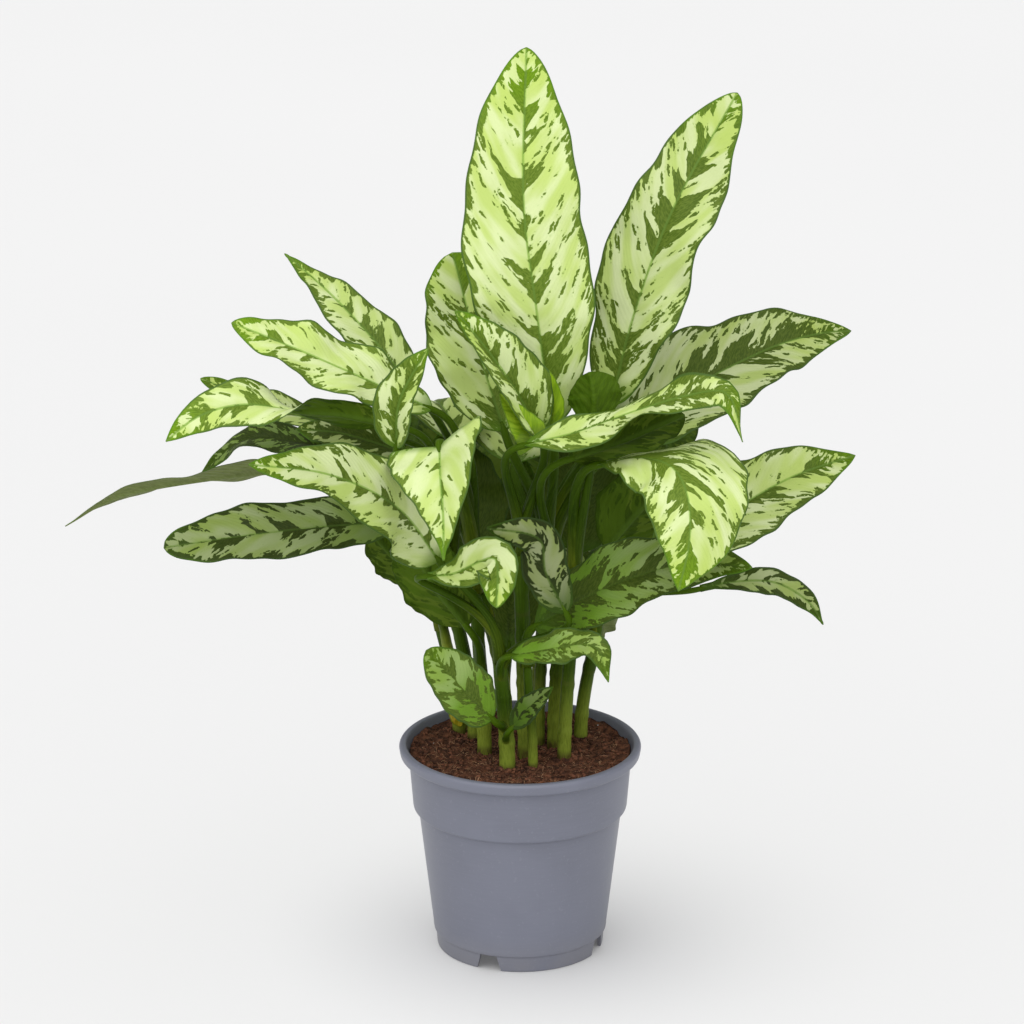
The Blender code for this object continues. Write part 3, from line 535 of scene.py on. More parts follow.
def blade_material():
    n = Nodes("blade_upper")
    field, _ = blade_pattern(n)
    stroke = n.attribute("stroke")
    share, out, edge = n.parts("place")
    tone, _, plain = n.parts("look")
    mask = n.ramp(field, -0.012, 0.022)
    fine = n.noise(stroke, (9.0, 5.0, 1.0))
    cloud = n.noise(stroke, (0.55, 0.45, 1.0), 1.0)
    pale = n.vary(cloud, (0.54, 0.68, 0.2), (0.69, 0.79, 0.4))
    pale = n.mix(n.ramp(field, -0.1, 0.0) * 0.35, pale, (0.3, 0.47, 0.07))
    pale = n.mix(n.ramp(fine, 0.5, 0.75, 0.0, 0.1), pale, (0.37, 0.53, 0.09))
    lime = n.ramp(share, 0.45, 0.95) * n.ramp(cloud, 0.35, 0.65, 0.5, 0.1)
    pale = n.mix(lime, pale, (0.49, 0.65, 0.11))
    pale = n.mix(plain * n.ramp(share, 0.05, 0.7, 1.8, 0.75), pale, (0.185, 0.35, 0.028))
    deep = n.vary(fine, (0.09, 0.156, 0.012), (0.154, 0.232, 0.028))
    fresh = n.vary(fine, (0.11, 0.22, 0.003), (0.16, 0.3, 0.006))
    tip = n.ramp(share, 0.72, 0.97) * n.ramp(cloud, 0.3, 0.6, 0.4, 1.0)
    # The dark patches take the tone here and again at the end: painted light and shade.
    colour = n.mix(mask, pale, n.shade(n.mix(tip, deep, fresh), tone))
    rim = n.mix(tip, (0.07, 0.135, 0.025), (0.105, 0.24, 0.008))
    colour = n.mix(n.ramp(edge, 0.07, 0.14, 0.9, 0.0), colour, rim)
    rib = n.mix(mask, (0.25, 0.42, 0.065), (0.135, 0.24, 0.035))
    colour = n.mix(n.ramp(out, 0.05, 0.11, 0.75, 0.0) * (1.0 - plain), colour, rib)
    # Painted shade: the blade's base turns dark green, further up the dimmer its tone, for the shade deep
    # in the plant. Then the whole colour takes the tone, painted light and shade.
    neck = n.ramp(share * n.ramp(tone, 0.5, 1.0, 0.3, 1.0), 0.0, 0.1, 0.8, 0.0)
    colour = n.shade(n.mix(neck, colour, (0.1, 0.21, 0.015)), tone)
    grain = n.noise(stroke, (26.0, 22.0, 1.0), 3.0, 0.6)
    normal = n.bump(grain, 0.00014, 0.55, n.bump(vein_wave(n, stroke, 2), 0.00007, 0.5))
    return n.finish(Base_Color=colour, Roughness=n.ramp(fine, 0.3, 0.7, 0.36, 0.46), Normal=normal,
                    Specular_IOR_Level=0.12)


def underside_material():
    n = Nodes("blade_under")
    field, clump = blade_pattern(n)
    stroke = n.attribute("stroke")
    _, out, _ = n.parts("place")
    tone, _, plain = n.parts("look")
    fine = n.noise(stroke, (7.0, 4.0, 1.0), 3.0)
    # The olive is partly the underside's own colour and partly painted shade: darker than the underside
    # itself, for the shade beneath the blades.
    olive = n.vary(fine, (0.02, 0.048, 0.001), (0.034, 0.072, 0.002))
    lighter = n.vary(clump, (0.064, 0.118, 0.006), (0.09, 0.145, 0.012))
    colour = n.mix(n.ramp(field, -0.06, 0.06) * 0.75, lighter, olive)
    rib = n.ramp(out, 0.1, 0.3, 0.8, 0.0) * (1.0 - plain)
    # Painted light and shade: the underside takes its tone.
    colour = n.shade(n.mix(rib, colour, (0.07, 0.13, 0.012)), tone)
    grey = n.vary(fine, (0.15, 0.175, 0.065), (0.205, 0.225, 0.1))
    # Where the tone is raised past 1.6 the underside turns greyish.
    colour = n.mix(n.ramp(tone, 1.6, 2.2, 0.0, 0.8), colour, grey)
    grain = n.noise(stroke, (24.0, 20.0, 1.0), 3.0, 0.6)
    normal = n.bump(grain, 0.00014, 0.5, n.bump(vein_wave(n, stroke, 1), 0.0002, 0.7))
    return n.finish(Base_Color=colour, Roughness=n.ramp(fine, 0.3, 0.7, 0.48, 0.58), Normal=normal,
                    Specular_IOR_Level=0.05)


def stem_material():
    """Petioles and canes: grow holds the share of the way up, how yellow, and how much cane."""
    n = Nodes("stem")
    share, yellow, cane = n.parts("grow")
    run = n.attribute("run")
    streak = n.noise(run, (0.35, 3.2, 1.0), 4.0, 0.6)
    mottle = n.noise(run, (1.6, 4.0, 1.0), 3.0, 0.6)
    green = n.vary(streak, (0.02, 0.046, 0.001), (0.04, 0.084, 0.002))
    green = n.mix(n.ramp(share, 0.35, 1.0, 0.0, 0.5), green, (0.085, 0.165, 0.004))
    foot = n.vary(streak, (0.085, 0.12, 0.003), (0.17, 0.205, 0.012))
    scar = n.math("SINE", n.split(run)[0] * (math.pi * CM / CANE_SCAR_SPACING))
    colour = n.mix(yellow, green, foot)
    colour = n.mix(n.ramp(scar, 0.93, 0.99) * cane * 0.4, colour, (0.06, 0.075, 0.012))
    low = n.ramp(share, 0.06, 0.55, 1.0, 0.0) * cane
    colour = n.mix(low * n.ramp(mottle, 0.3, 0.6, 0.45, 0.85), colour, (0.28, 0.36, 0.045))
    speck = n.ramp(n.noise(run, (3.5, 7.0, 1.0)), 0.62, 0.68, 0.0, 0.35)
    colour = n.mix(speck, colour, (0.11, 0.18, 0.025))
    dirt = n.ramp(share, 0.02, 0.06, 1.0, 0.0) * cane * n.ramp(mottle, 0.35, 0.6, 0.3, 0.9)
    colour = n.mix(dirt, colour, (0.07, 0.04, 0.016))
    normal = n.bump(streak, 0.00014, 0.5, n.bump(mottle, 0.0001, 0.4))
    return n.finish(Base_Color=colour, Roughness=n.ramp(mottle, 0.3, 0.7, 0.42, 0.52), Normal=normal,
                    Specular_IOR_Level=0.07)


def young_material(name, dark, light):
    """Plain bright colour of leaves that are still rolled up."""
    n = Nodes(name)
    share, _, edge = n.parts("place")
    streak = n.noise(n.attribute("stroke"), (3.0, 1.0, 1.0), 3.0, 0.6)
    colour = n.vary(streak, dark, light)
    colour = n.mix(n.ramp(edge, 0.03, 0.09, 0.7, 0.0), colour, (0.08, 0.17, 0.008))
    colour = n.mix(n.ramp(share, 0.0, 0.4, 0.6, 0.0), colour, (0.11, 0.23, 0.01))
    return n.finish(Base_Color=colour, Roughness=n.ramp(streak, 0.3, 0.7, 0.34, 0.46),
                    Normal=n.bump(streak, 0.0002, 0.5), Specular_IOR_Level=0.28)


def pot_material():
    n = Nodes("pot_plastic_satin")
    place = n.place()
    cloud = n.noise(place, 14.0, 3.0, 0.55)
    drawn = n.noise(place, (60.0, 60.0, 900.0))
    colour = n.vary(cloud, (0.158, 0.166, 0.212), (0.178, 0.187, 0.238), 0.3, 0.7)
    colour = n.mix(n.ramp(drawn, 0.35, 0.7, 0.0, 0.18), colour, (0.2, 0.21, 0.262))
    speck = n.ramp(n.noise(place, 420.0, 1.0), 0.66, 0.72, 0.0, 0.25)
    colour = n.mix(speck, colour, (0.24, 0.25, 0.3))
    dust = n.ramp(n.split(place)[2], 0.0, 0.03, 0.35, 0.0) * n.ramp(cloud, 0.35, 0.6)
    colour = n.mix(dust, colour, (0.22, 0.21, 0.205))
    normal = n.bump(n.noise(place, 900.0), 0.0001, 0.4, n.bump(drawn, 0.00005, 0.4))
    return n.finish(Base_Color=colour, Roughness=n.ramp(cloud, 0.3, 0.7, 0.36, 0.46), Normal=normal)


def soil_material():
    n = Nodes("peat")
    place = n.place()
    clod = n.noise(place, 190.0, 6.0, 0.65)
    fine = n.noise(place, 900.0, 4.0, 0.7)
    fibre = n.noise(place, (1300.0, 350.0, 600.0), 3.0, 0.6)
    colour = n.vary(clod, (0.042, 0.016, 0.009), (0.195, 0.078, 0.04), 0.35, 0.68)
    colour = n.mix(n.ramp(fine, 0.55, 0.75, 0.0, 0.7), colour, (0.27, 0.125, 0.07))
    colour = n.mix(n.ramp(fibre, 0.64, 0.72, 0.0, 0.5), colour, (0.34, 0.18, 0.105))
    normal = n.bump(fine, 0.0012, 0.8, n.bump(clod, 0.003, 0.7))
    return n.finish(Base_Color=colour, Roughness=n.ramp(fine, 0.3, 0.7, 0.8, 0.97), Normal=normal,
                    Specular_IOR_Level=0.2)


def grain_material(name, dark, light, scale, rough):
    """For crumbs, fibres and perlite: two shades that change from piece to piece and within each."""
    n = Nodes(name)
    place = n.place()
    fine = n.noise(place, scale * 9, 3.0, 0.65)
    colour = n.vary(n.noise(place, scale) * 0.7 + fine * 0.3, dark, light, 0.38, 0.62)
    return n.finish(Base_Color=colour, Roughness=n.ramp(fine, 0.3, 0.7, rough - 0.1, rough),
                    Normal=n.bump(fine, 0.0004, 0.8), Specular_IOR_Level=0.25)


def floor_material():
    n = Nodes("studio_floor")
    colour = n.vary(n.noise(n.place(), 0.7), (0.695,) * 3, (0.705,) * 3, 0.3, 0.7)
    return n.finish(Base_Color=colour, Roughness=0.9, Emission_Color=(1.0, 1.0, 1.0),
                    Emission_Strength=0.095, Specular_IOR_Level=0.1)


def to_metres(point):
    """A point in millimetres round the pot's axis, in the shared frame."""
    return (point[0] * MM + AXIS.x, point[1] * MM + AXIS.y, point[2] * MM)


def add_object(name, data):
    thing = bpy.data.objects.new(name, data)
    bpy.context.scene.collection.objects.link(thing)
    return thing


def add_bmesh(name, bm):
    bmesh.ops.recalc_face_normals(bm, faces=bm.faces)
    mesh = bpy.data.meshes.new(name)
    bm.to_mesh(mesh)
    bm.free()
    return add_object(name, mesh)


def declare(piece, node=None):
    """Let a piece ride on the root body, and hide the node that it stands for."""
    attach(piece, "root")
    if node:
        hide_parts(node)


def new_piece(name, points, faces, materials, node=None, marks=None, indices=None):
    """A smooth mesh with its marks, values at each point that the materials read."""
    mesh = bpy.data.meshes.new(name)
    mesh.from_pydata([to_metres(p) for p in points], [], faces)
    for material in materials:
        mesh.materials.append(material)
    if indices:
        mesh.polygons.foreach_set("material_index", indices)
    mesh.shade_smooth()
    for key, values in (marks or {}).items():
        attribute = mesh.attributes.new(key, "FLOAT_VECTOR", "POINT")
        attribute.data.foreach_set("vector", np.array(values, np.float32).ravel())
    mesh.validate()
    declare(add_object(name, mesh), node)


def tube_faces(start, sides, rings, last_cap=True):
    """Quads between rings of points that follow each other, and caps on the first and last ring."""
    faces = []
    for ring in range(rings - 1):
        a = start + ring * sides
        b = a + sides
        for n in range(sides):
            m = (n + 1) % sides
            faces.append((a + n, a + m, b + m, b + n))
    faces.append(tuple(reversed(range(start, start + sides))))
    if last_cap:
        last = start + (rings - 1) * sides
        faces.append(tuple(range(last, last + sides)))
    return faces


def turns_round(count, first=0.5):
    """Angles in equal steps round a circle, the first one that share of a step on."""
    return [2 * math.pi * (k + first) / count for k in range(count)]


def circle(radius, turns, centre=(0, 0)):
    return [(centre[0] + radius * math.cos(a), centre[1] + radius * math.sin(a)) for a in turns]


def smoothstep(low, high, value):
    t = min(1.0, max(0.0, (value - low) / (high - low)))
    return t * t * (3 - 2 * t)


def bezier(p0, p1, p2, p3, steps):
    curve = []
    for k in range(steps + 1):
        t = k / steps
        u = 1 - t
        curve.append(p0 * u**3 + p1 * 3 * u * u * t + p2 * 3 * u * t * t + p3 * t**3)
    return curve


def smooth_path(points, steps):
    """A smooth curve through the spine's points, in equal steps of its length, and that length."""
    pts = [Vector(p) for p in points]
    ends = [pts[0] * 2 - pts[1]] + pts + [pts[-1] * 2 - pts[-2]]
    fine = []
    for a, b, c, d in zip(ends, ends[1:], ends[2:], ends[3:]):
        for k in range(16):
            t = k / 16
            fine.append(0.5 * (2 * b + (c - a) * t + (2 * a - 5 * b + 4 * c - d) * t * t
                               + (3 * b - a - 3 * c + d) * t**3))
    fine.append(pts[-1])
    lengths = [0.0]
    for a, b in zip(fine, fine[1:]):
        lengths.append(lengths[-1] + (b - a).length)
    path = []
    k = 0
    for n in range(steps + 1):
        want = lengths[-1] * n / steps
        while k < len(fine) - 2 and lengths[k + 1] < want:
            k += 1
        t = (want - lengths[k]) / (lengths[k + 1] - lengths[k])
        path.append(fine[k].lerp(fine[k + 1], t))
    return path, lengths[-1]


def half_width(leaf, s, half):
    """How far one half of the blade, 0 left or 1 right, reaches at s, from 0 at base to 1 at tip."""
    peak = leaf.shoulder / (leaf.shoulder + leaf.taper)
    top = peak**leaf.shoulder * (1 - peak)**leaf.taper
    neck = BLADE_NECK * (1 - s) + BLADE_TIP * s
    frill = 1 + leaf.frill * math.sin(2 * math.pi * FRILL_WAVES * s + leaf.phase + half * SIDE_LAG)
    frill += FINE_FRILL * math.sin(2 * math.pi * FINE_WAVES * s + 3 * leaf.phase + half * FINE_LAG)
    reach = leaf.width / 2 * leaf.halves[half] * frill
    return max(neck, reach * s**leaf.shoulder * (1 - s)**leaf.taper / top)


def leaf_frame(leaf, path, s):
    """Centre, direction, upper side and right hand side of a blade at s, from 0 at base to 1 at tip."""
    place = s * (len(path) - 1)
    k = min(int(place), len(path) - 2)
    centre = path[k].lerp(path[k + 1], place - k)
    before, after = path[max(k - 1, 0)], path[min(k + 2, len(path) - 1)]
    ahead = (path[k + 1] - before).normalized().lerp((after - path[k]).normalized(), place - k)
    ahead.normalize()
    face = Vector(leaf.faces[0]).lerp(Vector(leaf.faces[1]), s)
    up = (face - ahead * face.dot(ahead)).normalized()
    return centre, ahead, up, ahead.cross(up)


def leaf_section(leaf, frame, s, v, wide):
    """A point of the upper face and the face's direction there; v runs from -1 left to 1 right."""
    centre, _, up, right = frame
    half = 0 if v < 0 else 1
    hand = -1 if v < 0 else 1
    reach = abs(v) * wide
    rise = math.radians(leaf.fold[half] + leaf.curl[half] * abs(v) / 2)
    tilt = math.radians(leaf.fold[half] + leaf.curl[half] * abs(v))
    beat = math.sin(2 * math.pi * leaf.waves * s + leaf.phase + half * SIDE_LAG)
    wave = leaf.wave * abs(v)**1.5 * beat * math.sin(math.pi * s)**0.7
    point = centre + right * (hand * reach * math.cos(rise)) + up * (reach * math.sin(rise) + wave)
    if v == 0:
        return point, up
    return point, (up * math.cos(tilt) - right * (hand * math.sin(tilt))).normalized()


def relief(leaf, s, v, wide, length, seed):
    """How far the faces stand off the plain sheet, by groove, quilting, soft unevenness and ripples.

    The second value is the place along the rib where the side vein through the point starts.
    """
    out = abs(v) * wide
    q = s * length - VEIN_LEAN * out - VEIN_CURVE * out * out / (leaf.width / 2)
    small = min(1.0, leaf.width / FULL_RELIEF_WIDTH)
    groove = -GROOVE_DEPTH * small * math.exp(-(out / GROOVE_WIDTH)**2) * (1 - s)**0.5
    inside = smoothstep(0, 4, out) * smoothstep(0, 5, wide - out)
    quilt = QUILT_HEIGHT * small * inside * (0.5 - 0.5 * math.cos(2 * math.pi * q / VEIN_SPACING))
    soft = UNEVEN_HEIGHT * small * noise.noise(Vector((s * length / 17, v * wide / 12, seed * 3.7)))
    ripple = RIPPLE_SHARE * leaf.wave * abs(v)**3 * math.sin(math.pi * s)
    ripple *= math.sin(2 * math.pi * leaf.waves * RIPPLE_WAVES * s + 2 * leaf.phase
                       + (FINE_LAG if v < 0 else 0))
    return groove + quilt + soft * smoothstep(0, 3, out) + ripple, q


def blade_rows(length):
    """Places of the rows, close together at the blade's two ends."""
    count = max(MIN_ROWS, min(MAX_ROWS, round(length / ROW_LENGTH)))
    shares = [k / count for k in range(count + 1)]
    return [0.6 * share + 0.2 * (1 - math.cos(math.pi * share)) for share in shares]


def thickness(leaf, s, v, out):
    """The sheet's thickness, and how far the rib stands out below it."""
    thin = smoothstep(MARGIN_START, 1.0, abs(v))
    high = (RIB_THICKNESS - SHEET_THICKNESS) * (1 - s)**0.75
    high *= min(1.0, leaf.width / FULL_RELIEF_WIDTH + 0.2)
    rib = high * math.exp(-(out / (1.5 + high * 0.6))**2)
    return SHEET_THICKNESS + (MARGIN_THICKNESS - SHEET_THICKNESS) * thin, rib


def build_blade(name, leaf, materials, seed, node=None):
    """A blade: an upper and a lower face joined round the margin."""
    path, length = smooth_path(leaf.spine, SPINE_STEPS)
    look = LOOKS.get(name, Look())
    columns = [-v for v in reversed(COLUMNS)] + [0.0] + list(COLUMNS)
    points, faces, rings = [], [], []
    marks = {"stroke": [], "sheet": [], "place": [], "look": []}

    def mark(s, v, wide, q, side=1.0):
        marks["stroke"].append((q / CM + seed, v * wide / CM, seed))
        marks["sheet"].append((s * length / CM + seed, v * wide / CM, seed))
        marks["place"].append((s, abs(v) * wide / CM, (1 - abs(v)) * wide / CM))
        marks["look"].append((look.tone * side, look.dark, look.plain))

    for s in blade_rows(length):
        frame = leaf_frame(leaf, path, s)
        widths = [half_width(leaf, s, half) for half in (0, 1)]
        if s > TIP_START:
            close = ((1 - s) / (1 - TIP_START))**0.5
            widths = [min(w, max(TIP_END, half_width(leaf, TIP_START, half) * close))
                      for half, w in enumerate(widths)]
        top, low, veins = [], [], []
        for v in columns:
            wide = widths[0 if v < 0 else 1]
            point, face = leaf_section(leaf, frame, s, v, wide)
            lift, q = relief(leaf, s, v, wide, length, seed)
            thick, rib = thickness(leaf, s, v, abs(v) * wide)
            middle = point - face * (BLADE_THICKNESS / 2)
            veins.append(q)
            top.append(len(points))
            points.append(middle + face * (lift + thick / 2))
            mark(s, v, wide, q)
            low.append(len(points))
            points.append(middle + face * (lift - thick / 2 - rib))
            # The lower face's tone is the blade's times under: painted light and shade.
            mark(s, v, wide, q, look.under)
        edges = []
        for v, end in ((-1, 0), (1, -1)):
            edges.append(len(points))
            outward = frame[3] * (v * MARGIN_THICKNESS / 2)
            points.append((points[top[end]] + points[low[end]]) / 2 + outward)
            mark(s, v, widths[(v + 1) // 2], veins[end])
        rings.append((top, low, edges))
    for (top, low, edges), (top2, low2, edges2) in zip(rings, rings[1:]):
        for k in range(len(columns) - 1):
            faces.append((top[k], top[k + 1], top2[k + 1], top2[k]))
            faces.append((low[k + 1], low[k], low2[k], low2[k + 1]))
        faces.append((edges[0], top[0], top2[0], edges2[0]))
        faces.append((low[0], edges[0], edges2[0], low2[0]))
        faces.append((top[-1], edges[1], edges2[1], top2[-1]))
        faces.append((edges[1], low[-1], low2[-1], edges2[1]))
    # Upper and lower faces take turns, and the two ends belong to the underside
    indices = [0, 1] * (len(faces) // 2) + [1, 1]
    for (top, low, edges), turn in ((rings[0], -1), (rings[-1], 1)):
        loop = top + [edges[1]] + low[::-1] + [edges[0]]
        faces.append(tuple(loop[::turn]))
    new_piece("blade_" + name, points, faces, materials, node, marks, indices)


def sweep(points, faces, marks, path, ups, radius_at, sides, grow, shift):
    """Sweep a section along a path; ups point to the section's open side, radius_at gives its radius."""
    start = len(points)
    travelled = 0.0
    for k, centre in enumerate(path):
        ahead = (path[min(k + 1, len(path) - 1)] - path[max(k - 1, 0)]).normalized()
        up = ups[k] - ahead * ups[k].dot(ahead)
        up = up.normalized() if up.length > 1e-4 else ahead.orthogonal().normalized()
        side = ahead.cross(up)
        share = k / (len(path) - 1)
        if k:
            travelled += (centre - path[k - 1]).length
        for a in turns_round(sides, 0):
            radius = radius_at(share, a if a <= math.pi else a - 2 * math.pi, travelled)
            points.append(centre + (up * math.cos(a) + side * math.sin(a)) * radius)
            x, y = math.cos(a) * 2, math.sin(a) * 2
            marks["run"].append((travelled / CM + shift, x + y * 0.6 + shift, y))
            marks["grow"].append((share, grow[0] * (1 - smoothstep(0.0, 0.45, share)), grow[1]))
    faces.extend(tube_faces(start, sides, len(path)))


def cane_controls(shoot):
    """The bottom of the cane's straight foot, the curve from the soil up to its top, and its steps."""
    out = Vector((*shoot.foot, SOIL_EDGE_HEIGHT - SOIL_DISH + 2))
    top = Vector(shoot.top)
    rise = (top.z - out.z) * CANE_UPRIGHT
    steps = max(4, round((top.z - out.z) / CANE_SCAR_SPACING))
    controls = (out, out + Vector((0, 0, rise)), top - Vector((0, 0, rise * CANE_TOP_SHARE)), top)
    return Vector((*shoot.foot, STEM_HOLE_FLOOR + GAP)), controls, steps


def point_along(run, share):
    """The point and direction a share of the way along a path from the soil up."""
    place = share * (len(run) - 1)
    k = min(int(place), len(run) - 2)
    ahead = (run[k + 1] - run[k]).normalized()
    return run[k].lerp(run[k + 1], place - k), ahead


def petiole_curve(leaf, run):
    """From inside the cane to the blade's base and on into its rib, with the blade's upper side."""
    start, ahead = point_along(run, leaf.node)
    base, arrive, up, _ = leaf_frame(leaf, smooth_path(leaf.spine, SPINE_STEPS)[0], 0)
    base = base - up * (RIB_THICKNESS / 2) - arrive * GAP
    meet = base - arrive * PETIOLE_END
    stretch = (meet - start).length
    first = start + ahead * stretch * leaf.reach[0]
    # A petiole that comes down to its blade turns over in a short bend
    last = meet - arrive * stretch * leaf.reach[1] * (0.3 if arrive.z < -0.3 else 1.0)
    curve = bezier(start, first, last, meet, PETIOLE_STEPS) + [base]
    curve += [base + arrive * 3 - up * 0.3, base + arrive * 7 - up * 0.1]
    return curve, up, ahead


def build_shoot(index, name, shoot, leaves, material):
    """A cane with its scars, and the petioles of the blades that it carries."""
    points, faces = [], []
    marks = {"run": [], "grow": []}
    bottom, controls, steps = cane_controls(shoot)
    run = bezier(*controls, steps)
    path = [bottom] + bezier(*controls, steps * 9)
    straight = (path[1] - path[0]).length

    def cane_radius(share, turn, travelled):
        """Thinner upwards, swollen at each scar with a dent beside it, and closed at the top."""
        up_share = max(0.0, travelled - straight) / CANE_SCAR_SPACING
        plain = shoot.radius * (1 - CANE_THINNING * min(1.0, (up_share + 1) / (steps + 2)))
        near = abs((up_share % 2) - 1)
        swell = 1 + (CANE_SCAR_SWELL - 1) * math.exp(-(near / 0.16)**2)
        dent = 1 - 0.03 * math.exp(-((near - 0.3) / 0.12)**2)
        uneven = 1 + 0.025 * math.sin(3 * turn + up_share + index)
        cap = 1 - 0.55 * smoothstep(0.955, 1.0, share)
        return plain * (swell * dent * uneven * cap if travelled > straight else 1.0)

    yellow = 1.0 if name in YELLOW_SHOOTS else 0.35
    sweep(points, faces, marks, path, [Vector((1, 0, 0))] * len(path), cane_radius, CANE_SIDES,
          (yellow, 1.0), index * CANE_SHIFT)
    for number, leaf in enumerate(leaves):
        curve, blade_up, ahead = petiole_curve(leaf, run)
        slim = min(1.0, SLIM_SHARE + leaf.width / SLIM_WIDTH)
        lean = curve[PETIOLE_STEPS // 2] - curve[0]
        lean = lean - ahead * lean.dot(ahead)
        inward = -lean.normalized() if lean.length > 1 else Vector((0, 1, 0))
        ups = [inward.lerp(blade_up, smoothstep(0.1, 0.95, k / (len(curve) - 1)))
               for k in range(len(curve))]

        def petiole_radius(share, turn, travelled):
            """Round, with a channel on the open side and a wing on either side of it at the foot."""
            base = slim * (PETIOLE_TIP_RADIUS
                           + (PETIOLE_BASE_RADIUS - PETIOLE_TIP_RADIUS) * (1 - share)**1.5)
            channel = 0.12 + 0.30 * (1 - smoothstep(0.15, 0.7, share))
            wing = 0.16 * (1 - smoothstep(0.2, 0.6, share))
            shape = 1 - channel * math.exp(-(turn / 0.55)**2)
            shape += wing * math.exp(-((abs(turn) - 1.05) / 0.3)**2)
            return base * (shape * (1 - 0.5 * smoothstep(0.95, 1.0, share)))

        low = leaf.node < LOW_NODE
        tint = 3.0 if low else 0.75 if (number + index) % 3 == 0 else 0.25
        sweep(points, faces, marks, curve, ups, petiole_radius, PETIOLE_SIDES,
              (tint, 1.0 if low else 0.0), index * CANE_SHIFT + number * PETIOLE_SHIFT + 1)
    new_piece("stems_" + name, points, faces, [material], "shoot_" + name, marks)


def soil_height(x, y):
    """The soil's surface: a shallow dish that rises to the wall, with soft hollows and clods."""
    dish = SOIL_DISH * (1 - (math.hypot(x, y) / MOUTH_RADIUS) ** 3)
    bumps = 0.7 * math.sin(x / 9 + 0.6) * math.cos(y / 8) + 0.5 * math.sin(y / 5.5 + x / 14)
    clods = noise.fractal(Vector((x / 7, y / 7, 0.3)), 0.6, 2.1, 5)
    return SOIL_EDGE_HEIGHT - dish + bumps + SOIL_ROUGHNESS * max(-1.0, min(1.0, clods))


def inner_radius(height):
    """The pot's inside radius at a height, on the way from the floor up to the mouth."""
    stations = (
        (FOOT_RING_HEIGHT + WALL, BODY_FOOT_RADIUS - WALL),
        (STEP_HEIGHT, BODY_TOP_RADIUS - WALL),
        (COLLAR_FOOT_HEIGHT, COLLAR_FOOT_RADIUS - WALL),
        (RIM_TURN_HEIGHT, COLLAR_TOP_RADIUS - WALL),
        (POT_HEIGHT - 1, MOUTH_RADIUS),
    )
    for (low, r_low), (high, r_high) in zip(stations, stations[1:]):
        if height <= high:
            return r_low + (r_high - r_low) * (height - low) / (high - low)
    return MOUTH_RADIUS


def soil_reach(clear):
    """How far from the pot's axis a thing on the soil may lie that keeps clear of the wall."""
    return inner_radius(SOIL_EDGE_HEIGHT - SOIL_BUMP) - clear


def build_soil(material):
    """A plug from the pot's floor up to the rough surface, which its rings of points cover."""
    points = []
    heights = (FOOT_RING_HEIGHT + WALL + GAP, STEP_HEIGHT, COLLAR_FOOT_HEIGHT, RIM_TURN_HEIGHT)
    radii = [inner_radius(height) - GAP for height in heights]
    radii += [soil_reach(GAP) * (1 - n / SOIL_RINGS) for n in range(SOIL_RINGS)]
    for ring, radius in enumerate(radii):
        for x, y in circle(radius, turns_round(SOIL_SEGMENTS)):
            height = heights[ring] if ring < len(heights) else soil_height(x, y)
            points.append(Vector((x, y, height)))
    faces = tube_faces(0, SOIL_SEGMENTS, len(radii), last_cap=False)
    last, middle = len(points) - SOIL_SEGMENTS, len(points)
    points.append(Vector((0, 0, soil_height(0, 0))))
    for k in range(SOIL_SEGMENTS):
        faces.append((last + k, last + (k + 1) % SOIL_SEGMENTS, middle))
    new_piece("soil_surface", points, faces, [material], "soil")


def lump_template(level):
    """Points and faces of a ball of radius 1."""
    bm = bmesh.new()
    bmesh.ops.create_icosphere(bm, subdivisions=level, radius=1.0)
    points = [v.co.copy() for v in bm.verts]
    faces = [tuple(v.index for v in f.verts) for f in bm.faces]
    bm.free()
    return points, faces


def lump_points(rng, centre, size, template):
    """The template's points, stretched, dented and turned at random."""
    stretch = Vector((rng.uniform(0.7, 1.3), rng.uniform(0.7, 1.3), rng.uniform(0.5, 0.9)))
    turn = rng.uniform(0, 2 * math.pi)
    shift = Vector((rng.uniform(0, 100), 0, 0))
    made = []
    for p in template:
        bump = 1 + 0.38 * noise.noise(p * 1.7 + shift)
        x, y, z = p.x * stretch.x * bump, p.y * stretch.y * bump, p.z * stretch.z * bump
        made.append(centre + Vector((x * math.cos(turn) - y * math.sin(turn),
                                     x * math.sin(turn) + y * math.cos(turn), z)) * size)
    return made


def on_soil(rng, clear):
    """A random place on the soil, clear of the pot's wall."""
    radius = soil_reach(clear) * math.sqrt(rng.random())
    turn = rng.uniform(0, 2 * math.pi)
    return radius * math.cos(turn), radius * math.sin(turn)


def by_cane(rng, _):
    """A random place on the soil beside one of the canes."""
    shoot = rng.choice(list(SHOOTS.values()))
    turn = rng.uniform(0, 2 * math.pi)
    away = shoot.radius + rng.uniform(0.2, 1.0) * rng.uniform(0.0, HEAP_REACH)
    return shoot.foot[0] + away * math.cos(turn), shoot.foot[1] + away * math.sin(turn)


def build_lumps(name, count, sizes, material, seed, level=1, place=on_soil):
    """Crumbs or grains of random sizes, partly sunk into the soil."""
    rng = random.Random(seed)
    template, cells = lump_template(level)
    points, faces = [], []
    for _ in range(count):
        size = rng.uniform(*sizes) * rng.uniform(0.6, 1.0)
        x, y = place(rng, size + 1)
        centre = Vector((x, y, soil_height(x, y) + size * rng.uniform(-0.1, 0.45)))
        start = len(points)
        points.extend(lump_points(rng, centre, size, template))
        faces.extend(tuple(start + k for k in cell) for cell in cells)
    new_piece(name, points, faces, [material])


